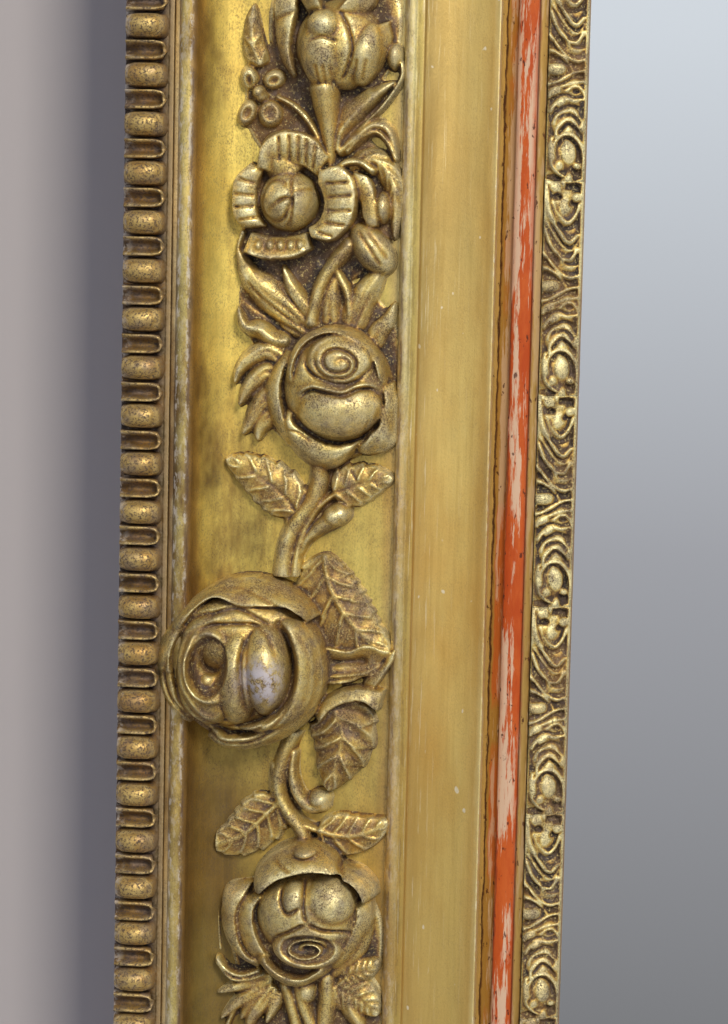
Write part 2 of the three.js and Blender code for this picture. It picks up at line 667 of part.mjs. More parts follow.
sides.forEach(({ name, piece, length, at }, quarter) => {
  const side = new THREE.Group();
  side.position.set(...at, 0);
  side.rotation.z = (quarter * Math.PI) / 2;
  mirror.add(side);
  const holes = piece === "stile" ? stileHoles(name === "right") : [];
  place(side, `${name}_${piece}`, carcass(length, holes), "gilt");
  place(side, `${name}_slip`, mitredLength(slipProfile, length), "redBole");
  const gadroon = cushionedLength({
    outer: 0,
    inner: GADROON_WIDTH,
    bottom: 0,
    top: GADROON_BASE,
    length,
    pitch: GADROON_PITCH,
    crown: GADROON_CROWN,
    inset: GADROON_INSET,
    notch: GADROON_NOTCH,
    tie: GADROON_TIE,
  });
  place(side, `${name}_gadroon_moulding`, gadroon, "agedGilt", 0, 0, wGadroon + GAP);

  // The sight ornament is laid down the slip's slope, so it is built flat and sheared to it.
  const sight = cushionedLength({
    outer: uSight + GAP,
    inner: uEdge,
    bottom: GAP,
    top: SIGHT_BASE,
    length,
    pitch: SIGHT_PITCH,
    crown: SIGHT_CROWN,
    inset: SIGHT_INSET,
    notch: 0,
    tie: 3,
  });
  const slope = -SIGHT_DROP / (uEdge - uSight);
  const shear = new THREE.Matrix4().makeShear(0, 0, 0, slope, 0, 0).setPosition(0, 0, -slope * uSight);
  sight.applyMatrix4(shear);
  sight.computeVertexNormals();
  place(side, `${name}_sight_ornament`, sight, "agedGilt", 0, 0, wRed);

  // Two runs of garland leave the boss at the middle, the first one mirrored.
  const ornamentSeat = wFrieze + GAP;
  halfNames[name].forEach((half, i) => {
    const run = geometryOf(i === 0 ? garlands[piece].mirror([1, 0, 0]) : garlands[piece]);
    place(side, `garland_${name}_${half}`, run, "agedGilt", length / 2, uGarland, ornamentSeat);
  });

  // The boss overhangs the cove, so it is cut to clear the moulding.
  const moulding = solidOf(mitredLength(carcassProfile, length));
  const seated = moved(boss(), length / 2, uGarland, ornamentSeat);
  const trimmed = [[0, 0], [0, GAP], [GAP, 0]].reduce(
    (solid, [y, z]) => solid.subtract(moulding.translate([0, y, z])),
    seated,
  );
  place(side, `rose_boss_${name}`, geometryOf(trimmed), "agedGilt");

  const next = sides[(quarter + 3) % 4].name;
  const corner = piece === "rail" ? `${name}_${next}` : `${next}_${name}`;
  const atCorner = geometryOf(cornerRose());
  place(side, `corner_rose_${corner}`, atCorner, "agedGilt", uGarland, uGarland, ornamentSeat);
  const key = geometryOf(turned(keySolid(0, GAP, KEY_DEPTH), -45));
  place(side, `mitre_key_${corner}`, key, "oak", keyCentre, keyCentre);
});

// Glass, spacers and boards lie in the rebate.
const glassEdge = uRebate + GLASS_MARGIN;
const halfGlass = FRAME_WIDTH / 2 - glassEdge;
place(
  mirror,
  "mirror_glass",
  boxGeometry(-halfGlass, halfGlass, glassEdge, FRAME_HEIGHT - glassEdge, wGlass, wSlip - GAP),
  "silvered",
);
const halfOpening = openingWidth / 2 - GAP;
const spacerLow = uRebate + GAP;
const spacerHigh = FRAME_HEIGHT - uRebate - GAP;
const between = halfOpening - SPACER_WIDTH - GAP; // the short spacers lie between the long ones
const spacerSpans = {
  left: [-halfOpening, -halfOpening + SPACER_WIDTH, spacerLow, spacerHigh],
  right: [halfOpening - SPACER_WIDTH, halfOpening, spacerLow, spacerHigh],
  bottom: [-between, between, spacerLow, spacerLow + SPACER_WIDTH],
  top: [-between, between, spacerHigh - SPACER_WIDTH, spacerHigh],
};
for (const [name, [x0, x1, y0, y1]] of Object.entries(spacerSpans))
  place(mirror, `glass_spacer_${name}`, boxGeometry(x0, x1, y0, y1, wSpacer, wGlass - GAP), "pine");

const boardPitch = openingHeight / BOARD_COUNT;
for (let i = 0; i < BOARD_COUNT; i++) {
  const geometry = boardGeometry(boardPitch - GAP, { tongue: i < BOARD_COUNT - 1, groove: i > 0 });
  place(mirror, `backboard_${i + 1}`, geometry, "pine", 0, uRebate + GAP / 2 + i * boardPitch, 0);
}

// Hangers and buttons are fixed to the recessed back of the stiles, so they face away from the room.
function backGroup(x, y, turn = 0) {
  const group = new THREE.Group();
  group.position.set(x, y, BACK_RECESS);
  group.rotation.set(Math.PI, 0, turn);
  mirror.add(group);
  return group;
}

for (const [name, way] of [["left", -1], ["right", 1]]) {
  const x = way * (FRAME_WIDTH / 2 - uHanger);
  // A half turn about x turns y over, so the strap is turned about z to point down the stile again.
  const hanger = backGroup(x, FRAME_HEIGHT - HANGER_DROP, Math.PI);
  place(hanger, `hanger_strap_${name}`, strapGeometry(), "iron");
  place(hanger, `hanger_ring_${name}`, ringGeometry(), "iron", 0, 0, pivotHeight);
  [["upper", STRAP_SCREW_NEAR], ["lower", STRAP_SCREW_FAR]].forEach(([which, drop]) => {
    const screw = screwGeometry(GAP + STRAP_THICKNESS);
    place(hanger, `hanger_screw_${name}_${which}`, screw, "iron", 0, -drop, 0);
  });
  [["lower", buttonPlaces[0]], ["upper", buttonPlaces[1]]].forEach(([which, y]) => {
    const pivot = way * (FRAME_WIDTH / 2 - uButton);
    const button = backGroup(pivot, y, way > 0 ? Math.PI : 0);
    place(button, `turn_button_${name}_${which}`, buttonGeometry(), "brass");
    place(button, `button_screw_${name}_${which}`, screwGeometry(GAP + BUTTON_THICKNESS), "iron");
  });
}

// The origin is on the wall face, at the middle of the bottom rail's back.
mirror.children.forEach((child) => {
  child.position.y -= keyCentre;
});
mirror.rotation.x = Math.PI / 2;

const pierMirror = new THREE.Group();
pierMirror.add(mirror);

export default pierMirror;
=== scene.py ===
# A pier mirror: a tall looking glass in a carved and gilded pine frame, hung flat against a wall.
# The sections follow the frame as it is put together, and the room that it is shown in comes last.
import math

import bmesh
import bpy
import numpy as np
from mathutils import Matrix, Vector, noise


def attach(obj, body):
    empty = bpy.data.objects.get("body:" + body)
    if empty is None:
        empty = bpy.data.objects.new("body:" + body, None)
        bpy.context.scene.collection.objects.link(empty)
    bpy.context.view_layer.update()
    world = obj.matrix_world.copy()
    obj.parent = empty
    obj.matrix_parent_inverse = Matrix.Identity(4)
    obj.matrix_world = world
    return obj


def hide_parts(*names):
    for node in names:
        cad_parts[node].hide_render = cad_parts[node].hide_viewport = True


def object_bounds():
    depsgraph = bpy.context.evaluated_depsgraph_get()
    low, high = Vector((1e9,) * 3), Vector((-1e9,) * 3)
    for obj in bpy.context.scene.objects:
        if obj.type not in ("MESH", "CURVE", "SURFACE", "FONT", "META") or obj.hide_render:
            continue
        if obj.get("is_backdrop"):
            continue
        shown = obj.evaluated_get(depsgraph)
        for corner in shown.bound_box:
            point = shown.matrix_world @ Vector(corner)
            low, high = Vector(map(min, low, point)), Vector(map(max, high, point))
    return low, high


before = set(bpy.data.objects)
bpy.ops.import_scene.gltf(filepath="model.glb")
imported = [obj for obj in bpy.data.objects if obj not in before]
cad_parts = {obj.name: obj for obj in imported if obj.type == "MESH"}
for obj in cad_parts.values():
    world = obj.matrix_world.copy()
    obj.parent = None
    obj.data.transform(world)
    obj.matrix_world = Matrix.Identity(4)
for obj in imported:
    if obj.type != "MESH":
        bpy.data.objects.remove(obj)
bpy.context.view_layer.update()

# ---- The carcass: two stiles and two rails ----
# Built-up pine mouldings, mitred and keyed at the corners, coated with gesso and gilded. The gold
# is rubbed to the gesso along the edges and speckled with old dirt where dust settles.
MM = 0.001  # sizes are given in millimetres
FRAME_WIDTH = 1040
FRAME_HEIGHT = 1840
FOOT = 24.5  # the frame's lower edge, below the origin
MITRE_EASE = 0.21  # left open at each end, so that the mitres don't run into each other

# Where each member of the mouldings starts, from the frame's outer edge inwards.
QUIRK, ASTRAGAL, COVE, FRIEZE = 15, 16.8, 22.5, 36.5
LISTEL, LISTEL_STEP, HOLLOW, HOLLOW_END = 83.5, 87, 89.5, 112
RED, RED_LISTEL, SIGHT, EDGE, REBATE = 117, 123.5, 126, 138, 105.5
FRIEZE_TOP = 47.5  # off the wall
ASTRAGAL_SEAT = 60.5
BACK_FACE = 14  # the recessed back, off the wall

SIDES = {
    "bottom": ("rail", FRAME_WIDTH),
    "right": ("stile", FRAME_HEIGHT),
    "top": ("rail", FRAME_WIDTH),
    "left": ("stile", FRAME_HEIGHT),
}


def upright(side, s, u, w):
    """Row-frame places, in metres, of points laid out along a side: s along it, u inwards, w off the wall."""
    half = FRAME_WIDTH / 2
    x, z = {
        "bottom": (s - half, u),
        "right": (half - u, s),
        "top": (half - s, FRAME_HEIGHT - u),
        "left": (u - half, FRAME_HEIGHT - s),
    }[side]
    return np.stack([x, -w, z - FOOT], axis=-1) * MM


def bowed(a, b, rise, steps):
    """The points of a round stretch of a section from a to b, bowed to the left of the way there."""
    (ax, ay), (bx, by) = a, b
    chord = math.hypot(bx - ax, by - ay)
    radius = (chord**2 / 4 + rise**2) / (2 * abs(rise))
    half = math.asin(chord / (2 * radius))
    points = []
    for i in range(1, steps + 1):
        angle = half * (2 * i / steps - 1)
        along = (chord / 2 + radius * math.sin(angle)) / chord
        out = math.copysign(radius * math.cos(angle) - radius + abs(rise), rise) / chord
        x = ax + (bx - ax) * along - (by - ay) * out
        y = ay + (by - ay) * along + (bx - ax) * out
        points.append((x, y))
    return points


def worn(outline, radius):
    """A closed section with every corner rubbed round, and a point close on each side of it."""
    points = np.array(outline, float)
    made = []
    for before, here, after in zip(np.roll(points, 1, 0), points, np.roll(points, -1, 0)):
        back, on = before - here, after - here
        lengths = np.linalg.norm(back), np.linalg.norm(on)
        back, on = back / lengths[0], on / lengths[1]
        turn = math.acos(np.clip(-back @ on, -1, 1))
        if turn < 0.5:
            made.append(here)
            continue
        r = min(radius, 0.3 * min(lengths))
        made += [here + back * 1.5 * r, here + back * r]
        made.append(here + (back + on) * r * 0.29)
        made += [here + on * r, here + on * 1.5 * r]
    return np.array(made)


def closed(bm):
    """Fills a mesh's open ends and turns its faces outwards."""
    bmesh.ops.holes_fill(bm, edges=[e for e in bm.edges if e.is_boundary])
    bmesh.ops.recalc_face_normals(bm, faces=bm.faces)
    return bm


def moulding(section, side, step, wobble):
    """A length of moulding with mitred ends, a little uneven as handwork is. Each point keeps its place
    along, across and off the wall in the attribute "lay", so that the finish can follow the length."""
    length = SIDES[side][1]
    count = len(section)
    bm = bmesh.new()
    bmesh.ops.create_grid(bm, x_segments=round(length / step), y_segments=count, size=0.5)
    grid = np.array([v.co for v in bm.verts])
    u, w = section[np.rint((grid[:, 1] + 0.5) * count).astype(int) % count].T
    start = u + MITRE_EASE
    s = start + (grid[:, 0] + 0.5) * (length - 2 * start)
    front = np.clip((w - 36) / 4, 0, 1) * wobble
    uneven = np.array([noise.fractal((a / 23, b / 2.5, c / 2.5), 1, 2, 3) for a, b, c in zip(s, u, w)])
    places = np.stack([s, u, w], 1) * MM
    lay = bm.verts.layers.float_vector.new("lay")
    for vert, place, co in zip(bm.verts, places, upright(side, s, u, w + uneven * front)):
        vert[lay] = place
        vert.co = co
    bmesh.ops.remove_doubles(bm, verts=bm.verts, dist=1e-6)
    return closed(bm)


def faced(bm, above, beyond=0):
    """Gives the second finish to the faces of a moulding that lie so far off the wall and inwards."""
    lay = bm.verts.layers.float_vector["lay"]
    for face in bm.faces:
        u, w = (sum(v[lay][k] for v in face.verts) / len(face.verts) / MM for k in (1, 2))
        if w > above and u > beyond and len(face.verts) == 4:
            face.material_index = 1


def piece(name, bm, finishes, body="frame", nodes=()):
    """Keeps a finished mesh as a piece that rides on its body and stands for its CAD nodes."""
    mesh = bpy.data.meshes.new(name)
    bm.to_mesh(mesh)
    bm.free()
    for material in finishes:
        mesh.materials.append(material)
    mesh.shade_smooth()
    made = bpy.data.objects.new(name, mesh)
    bpy.context.scene.collection.objects.link(made)
    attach(made, body)
    if nodes:
        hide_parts(*nodes)
    return made


def tone(red, green, blue):
    """A colour as it is seen, 0 to 255, as a shader takes it."""
    linear = [(c / 255 / 12.92 if c < 11 else ((c / 255 + 0.055) / 1.055) ** 2.4) for c in (red, green, blue)]
    return (*linear, 1)


def add(tree, kind, inputs=None, **settings):
    """A shader node with its settings and its inputs, each a value or another node's output."""
    node = tree.nodes.new("ShaderNode" + kind)
    for name, value in settings.items():
        setattr(node, name, value)
    for name, value in (inputs or {}).items():
        if isinstance(value, bpy.types.NodeSocket):
            tree.links.new(value, node.inputs[name])
        else:
            node.inputs[name].default_value = value
    return node


def finish(name, **inputs):
    """A new material, with the values that are the same all over it on its shader."""
    material = bpy.data.materials.new(name)
    material.use_nodes = True
    tree = material.node_tree
    shader = tree.nodes["Principled BSDF"]
    for key, value in inputs.items():
        shader.inputs[key.replace("_", " ")].default_value = value
    return material, tree, shader


def grain(tree, vector, scale, detail=3, rough=0.5, stretch=(1, 1, 1)):
    """Cloudy noise from 0 to 1, its scale per metre."""
    scaled = add(tree, "Mapping", {"Vector": vector, "Scale": stretch}).outputs[0]
    inputs = {"Vector": scaled, "Scale": scale, "Detail": detail, "Roughness": rough}
    return add(tree, "TexNoise", inputs).outputs["Fac"]


def ramp(tree, factor, *stops):
    """Colours or plain values by a factor, each stop (place, colour or value)."""
    node = add(tree, "ValToRGB", {"Fac": factor})
    while len(node.color_ramp.elements) < len(stops):
        node.color_ramp.elements.new(0.5)
    for element, (place, value) in zip(node.color_ramp.elements, stops):
        element.position = place
        element.color = value if isinstance(value, tuple) else (value, value, value, 1)
    return node.outputs["Color"]


def blend(tree, factor, first, second, how="MIX"):
    """The first colour, going over to the second with the factor."""
    node = add(tree, "Mix", {0: factor, 6: first, 7: second}, data_type="RGBA", blend_type=how)
    return node.outputs[2]


def sums(tree, how, *values):
    """Values added, multiplied or compared, point by point."""
    return add(tree, "Math", dict(enumerate(values)), operation=how).outputs[0]


def share_between(tree, first, last, place, ragged, stray):
    """How far a place has come from first to last, 0 to 1, its edges strayed by a noise; in millimetres."""
    strayed = sums(tree, "MULTIPLY_ADD", ragged, stray * MM, place)
    limits = {"From Min": (first + stray / 2) * MM, "From Max": (last + stray / 2) * MM}
    return add(tree, "MapRange", {"Value": strayed, **limits}).outputs[0]


def laid(tree):
    """The attribute "lay" and its three parts: along the side, across it and off the wall."""
    lay = add(tree, "Attribute", attribute_name="lay").outputs["Vector"]
    return lay, *add(tree, "SeparateXYZ", {"Vector": lay}).outputs


def relief(tree, shader, height, distance, strength):
    """Unevenness too fine to model, so many millimetres deep."""
    bump = add(tree, "Bump", {"Height": height, "Distance": distance * MM, "Strength": strength})
    tree.links.new(bump.outputs[0], shader.inputs["Normal"])


def pine_finish(name, run):
    """Bare pine whose grain runs along one axis, 0 for x and 2 for z."""
    material, tree, shader = finish(name, Roughness=0.78)
    place = add(tree, "TexCoord").outputs["Object"]
    rings = grain(tree, place, 55, 4, 0.6, [0.05 if k == run else 1 for k in range(3)])
    fibres = grain(tree, place, 900, 3, 0.6, [0.02 if k == run else 1 for k in range(3)])
    grime = grain(tree, place, 9, 4, 0.6)
    colour = ramp(tree, rings, (0.3, tone(150, 108, 64)), (0.5, tone(178, 136, 88)), (0.62, tone(132, 90, 50)))
    colour = blend(tree, ramp(tree, fibres, (0.4, 0.0), (0.7, 0.45)), colour, tone(104, 74, 45))
    colour = blend(tree, ramp(tree, grime, (0.45, 0.0), (0.75, 0.6)), colour, tone(92, 72, 52))
    tree.links.new(colour, shader.inputs["Base Color"])
    relief(tree, shader, fibres, 0.2, 0.6)
    return material


def moulding_gilding():
    """Gold on gesso, by the distance from the frame's outer edge, streaked along the length. The tones across the
    section hold painted shade and painted light as well as the gilding's own colour.
    """
    material, tree, shader = finish("moulding_gilding")
    lay, along, across, _ = laid(tree)
    ragged = grain(tree, lay, 420, 4, 0.65, (0.35, 1, 1))
    share = share_between(tree, QUIRK, HOLLOW_END, across, ragged, 1.6)

    def at(u):
        return (u - QUIRK) / (HOLLOW_END - QUIRK)

    # Painted shade darkens the quirk (15.2) and the astragal's edge where the cove starts (21.9), and painted
    # light makes the frieze palest (38), following how light falls across the section.
    gold = ramp(
        tree,
        share,
        (at(15.2), tone(100, 78, 48)),
        (at(15.9), tone(178, 154, 108)),
        (at(16.7), tone(190, 168, 122)),
        (at(17.1), tone(214, 206, 176)),
        (at(17.9), tone(212, 196, 128)),
        (at(20.4), tone(208, 186, 108)),
        (at(20.9), tone(176, 156, 112)),
        (at(21.9), tone(158, 120, 62)),
        (at(23.2), tone(192, 154, 76)),
        (at(24.6), tone(222, 194, 98)),
        (at(38), tone(236, 212, 110)),
        (at(60), tone(222, 194, 98)),
        (at(79), tone(216, 194, 108)),
        (at(81.8), tone(200, 176, 108)),
        (at(83.4), tone(206, 188, 128)),
        (at(84.6), tone(182, 160, 110)),
        (at(85.4), tone(204, 186, 126)),
        (at(86.6), tone(226, 212, 148)),
        (at(87.4), tone(180, 158, 88)),
        (at(88.4), tone(190, 168, 92)),
        (at(89.8), tone(202, 176, 108)),
        (at(94), tone(208, 180, 106)),
        (at(105), tone(208, 180, 104)),
        (at(110), tone(208, 172, 96)),
        (at(111.9), tone(226, 204, 136)),
    )
    patches = grain(tree, lay, 26, 4, 0.6, (0.45, 1, 1))
    gold = blend(tree, ramp(tree, patches, (0.42, 0.0), (0.66, 0.6)), gold, tone(190, 140, 58))
    outer = ramp(tree, share, (at(16), 1.0), (at(42), 0.8), (at(52), 0.25), (at(84), 0.35), (at(90), 0.0))
    grime = ramp(tree, grain(tree, lay, 13, 5, 0.7, (0.8, 2, 1)), (0.47, 0.0), (0.6, 0.9))
    gold = blend(tree, sums(tree, "MULTIPLY", grime, outer), gold, tone(104, 74, 36))
    # Painted shade darkens the outer part of the frieze below the middle of the side.
    below = ramp(tree, along, (0.935, 0.0), (0.965, 1.0), (1.0, 1.0))
    outermost = ramp(tree, share, (at(19), 0.0), (at(23), 0.7), (at(34), 0.85), (at(45), 0.3), (at(56), 0.0))
    gold = blend(tree, sums(tree, "MULTIPLY", below, outermost), gold, tone(90, 68, 38))
    # The hollow is a little browner above the middle than below it.
    above = ramp(tree, along, (0.60, 0.0), (0.70, 1.0), (0.80, 0.9), (0.86, 0.0))
    inner = ramp(tree, share, (at(88), 0.0), (at(91), 0.75), (at(104), 0.6), (at(111), 0.0))
    gold = blend(tree, sums(tree, "MULTIPLY", above, inner), gold, tone(166, 138, 78))
    # Below the middle the hollow is darkened by painted shade too.
    lower = sums(tree, "MULTIPLY", sums(tree, "MULTIPLY", below, inner), 0.5)
    gold = blend(tree, lower, gold, tone(170, 134, 62))
    mottle = ramp(tree, grain(tree, lay, 110, 5, 0.7), (0.34, 0.76), (0.6, 1.0))
    mottled = blend(tree, 1.0, gold, mottle, "MULTIPLY")
    gold = blend(tree, ramp(tree, share, (at(84), 1.0), (at(90), 0.15)), gold, mottled)
    streaks = grain(tree, lay, 700, 3, 0.6, (0.04, 1, 1))
    gold = blend(tree, ramp(tree, streaks, (0.45, 0.0), (0.75, 0.3)), gold, tone(156, 124, 56))
    # The plain hollow is scratched along its length, most of all beside the listel, and chipped here and there.
    hairs = ramp(tree, grain(tree, lay, 1500, 3, 0.7, (0.03, 1, 1)), (0.6, 0.0), (0.68, 0.7))
    inside = ramp(tree, share, (at(86.5), 0.0), (at(88), 1.0), (at(93), 0.7), (at(98), 0.15), (at(112), 0.1))
    gold = blend(tree, sums(tree, "MULTIPLY", hairs, inside), gold, tone(226, 212, 172))
    flaws = ramp(tree, grain(tree, lay, 300, 1, 0.5, (0.6, 1, 1)), (0.75, 0.0), (0.77, 0.8))
    plain = ramp(tree, share, (at(86), 0.0), (at(90), 1.0))
    gold = blend(tree, sums(tree, "MULTIPLY", flaws, plain), gold, tone(220, 208, 176))
    # Dirt sits in fine pits, thicker on the outer part than in the plain hollow.
    pits = grain(tree, lay, 1900, 5, 0.75, (0.7, 1, 1))
    crowd = ramp(tree, share, (at(16), 0.6), (at(40), 0.5), (at(86), 0.45), (at(90), 0.12), (at(112), 0.16))
    crowd = sums(tree, "MULTIPLY", crowd, ramp(tree, grain(tree, lay, 160, 3, 0.6), (0.36, 0.4), (0.62, 1.3)))
    specks = sums(tree, "MULTIPLY", ramp(tree, pits, (0.47, 0.0), (0.66, 1.0)), crowd)
    gold = blend(tree, specks, gold, tone(58, 38, 22))
    # The edges of the astragal and the listel are rubbed through to pale gesso.
    rubbed = ramp(
        tree,
        share,
        (at(16.9), 0.0),
        (at(17.2), 0.8),
        (at(18.4), 0.3),
        (at(20.2), 0.1),
        (at(20.8), 0.6),
        (at(21.6), 0.0),
        (at(83.0), 0.0),
        (at(83.6), 0.18),
        (at(86.8), 0.18),
        (at(87.3), 0.0),
        (at(111.5), 0.0),
        (at(111.9), 0.4),
    )
    chips = grain(tree, lay, 620, 4, 0.75, (0.45, 1, 1))
    bare = sums(tree, "MULTIPLY", ramp(tree, chips, (0.5, 0.0), (0.57, 1.0)), rubbed)
    colour = blend(tree, bare, gold, tone(208, 200, 186))
    # Broken cracks run beside the astragal, along the listel and where the hollow starts.
    beside = ramp(
        tree,
        share,
        (at(20.9), 0.0),
        (at(21.3), 0.9),
        (at(21.8), 0.0),
        (at(84.1), 0.0),
        (at(84.6), 0.75),
        (at(85.1), 0.0),
        (at(87.6), 0.0),
        (at(87.9), 0.5),
        (at(88.3), 0.0),
    )
    dashes = ramp(tree, grain(tree, lay, 330, 4, 0.6, (0.3, 1, 1)), (0.47, 0.0), (0.53, 1.0))
    colour = blend(tree, sums(tree, "MULTIPLY", dashes, beside), colour, tone(84, 62, 50))
    tree.links.new(colour, shader.inputs["Base Color"])
    dull = sums(tree, "MAXIMUM", bare, specks)
    tree.links.new(ramp(tree, dull, (0.0, 0.72), (0.8, 0.0)), shader.inputs["Metallic"])
    gloss = ramp(tree, share, (at(16), 0.46), (at(80), 0.44), (at(90), 0.42), (at(112), 0.42))
    tree.links.new(blend(tree, dull, gloss, (0.8, 0.8, 0.8, 1)), shader.inputs["Roughness"])
    height = sums(tree, "ADD", sums(tree, "MULTIPLY", pits, -0.5), sums(tree, "MULTIPLY", ragged, 0.8))
    relief(tree, shader, height, 0.22, 0.55)
    return material


bare_pine = {"rail": pine_finish("pine_rail", 0), "stile": pine_finish("pine_stile", 2)}
gilded_moulding = moulding_gilding()

carcass_section = worn(
    [
        (2, 0),
        (47, 0),
        (47, BACK_FACE),
        (REBATE, BACK_FACE),
        (REBATE, 38),
        (HOLLOW_END, 38),
        (HOLLOW_END, 47),
        *bowed((HOLLOW_END, 47), (HOLLOW, 48), 3.2, 14),
        (HOLLOW, 49.9),
        (LISTEL_STEP, 49.9),
        *bowed((LISTEL_STEP, 49.9), (LISTEL, 49.9), -0.9, 6),
        *((u, FRIEZE_TOP) for u in (LISTEL, 70, 60, 50, FRIEZE)),
        *bowed((FRIEZE, FRIEZE_TOP), (COVE, 59.5), 3.4, 12),
        (COVE, ASTRAGAL_SEAT),
        *bowed((COVE, ASTRAGAL_SEAT), (ASTRAGAL, ASTRAGAL_SEAT), -1.8, 8),
        (ASTRAGAL, 60.35),
        (QUIRK + 0.3, 60.35),
        (QUIRK + 0.3, 52.5),
        (2, 52.5),
    ],
    0.5,
)
for side, (kind, _) in SIDES.items():
    bm = moulding(carcass_section, side, 5, 0.22)
    faced(bm, 38.5, QUIRK + 0.1)
    finishes = [bare_pine[kind], gilded_moulding]
    piece(f"{side}_{kind}_moulding", bm, finishes, nodes=[f"{side}_{kind}"])

# ---- The gadrooned moulding along the outer edge ----
# Cushions that alternate with rimmed flutes, pressed from composition, glued into a rebate of the
# carcass and gilded with it. The cushions are counted to fit each mitred length.
GADROON_PITCH = 14.5
GADROON_WIDTH = 15  # across the side
GADROON_SEAT, GADROON_FLOOR, GADROON_TOP = 52.8, 60.2, 67.8  # off the wall


def gadroon_finish():
    """Gold by its height off the wall, with painted shade in the low gaps and flute floors and a painted
    highlight on the flute rims and cushion crowns.
    """
    material, tree, shader = finish("gadroon_gilding")
    place = add(tree, "TexCoord").outputs["Object"]
    _, _, across, height = laid(tree)
    cloud = grain(tree, place, 320, 4, 0.65)
    share = share_between(tree, 58, 68, height, cloud, 4)
    # The lowest heights are darkened as painted shade, and the flute rims (0.67) and the cushion crowns are
    # lightened as painted highlight.
    gold = ramp(
        tree,
        share,
        (0.15, tone(24, 16, 10)),
        (0.26, tone(66, 46, 25)),
        (0.37, tone(116, 88, 48)),
        (0.55, tone(150, 120, 66)),
        (0.67, tone(204, 176, 114)),
        (0.80, tone(160, 130, 72)),
        (1.0, tone(192, 164, 100)),
    )
    dust = ramp(tree, grain(tree, place, 170, 4, 0.65), (0.48, 0.0), (0.62, 0.55))
    gold = blend(tree, dust, gold, tone(122, 106, 96))
    amber = ramp(tree, grain(tree, place, 110, 3, 0.6), (0.5, 0.0), (0.66, 0.45))
    gold = blend(tree, amber, gold, tone(150, 106, 42))
    pits = grain(tree, place, 1300, 3, 0.7)
    specks = ramp(tree, pits, (0.49, 0.0), (0.6, 0.85))
    gold = blend(tree, specks, gold, tone(58, 42, 32))
    # The plain margin towards the frieze is as pale as the astragal beside it.
    margin = ramp(tree, across, (0.0135, 0.0), (0.0139, 0.85))
    gold = blend(tree, margin, gold, tone(176, 150, 104))
    edge = ramp(tree, across, (0.0, 0.9), (0.0012, 0.6), (0.0022, 0.0))
    bare = sums(tree, "MULTIPLY", ramp(tree, cloud, (0.5, 0.0), (0.6, 1.0)), edge)
    tree.links.new(blend(tree, bare, gold, tone(206, 192, 172)), shader.inputs["Base Color"])
    dull = sums(tree, "MAXIMUM", bare, specks)
    tree.links.new(ramp(tree, dull, (0.0, 0.7), (0.8, 0.0)), shader.inputs["Metallic"])
    tree.links.new(ramp(tree, dull, (0.0, 0.5), (0.8, 0.8)), shader.inputs["Roughness"])
    relief(tree, shader, sums(tree, "ADD", pits, cloud), 0.16, 0.6)
    return material


def cushion(bm, middle, width, low, high, floor, top):
    """One barrel-shaped cushion, rounded off at both ends."""
    made = bmesh.ops.create_grid(bm, x_segments=8, y_segments=6, size=1)["verts"]
    for v in made:
        a, b = v.co.x, math.sin(v.co.y * math.pi / 2)
        ends = max(0.0, 1 - abs(b) ** 3.2)
        crown = max(0.0, 1 - abs(a) ** 2.4) ** 0.5
        swell = 0.5 + 0.5 * ends**0.4
        along = middle + a * width / 2 * swell
        across = (low + high) / 2 + b * (high - low) / 2
        v.co = (along, across, floor + (top - floor) * crown * ends**0.5)


def flute(bm, middle, width, low, high, floor, rim, sunk):
    """One U-shaped flute between two cushions: a thin rim, round at the inner end, about a scoop."""
    heights = [0, 1, 0.9, sunk, 0.5 * sunk, sunk, 0.9, 1, 0]
    spread = [-1, -0.86, -0.66, -0.42, 0, 0.42, 0.66, 0.86, 1]
    made = bmesh.ops.create_grid(bm, x_segments=8, y_segments=6, size=1)["verts"]
    for v in made:
        k = round((v.co.x + 1) * 4)
        b = round((v.co.y + 1) * 3)
        reach = [0, 0.06, 0.45, 0.72, 0.88, 0.965, 1][b]
        narrow = [1, 1, 1, 1, 0.86, 0.6, 0][b]
        rise = {0: 0, 5: 1, 6: 0}.get(b, heights[k])
        along = middle + spread[k] * width / 2 * narrow
        v.co = (along, low + (high - low) * reach, floor + (rim - floor) * rise)


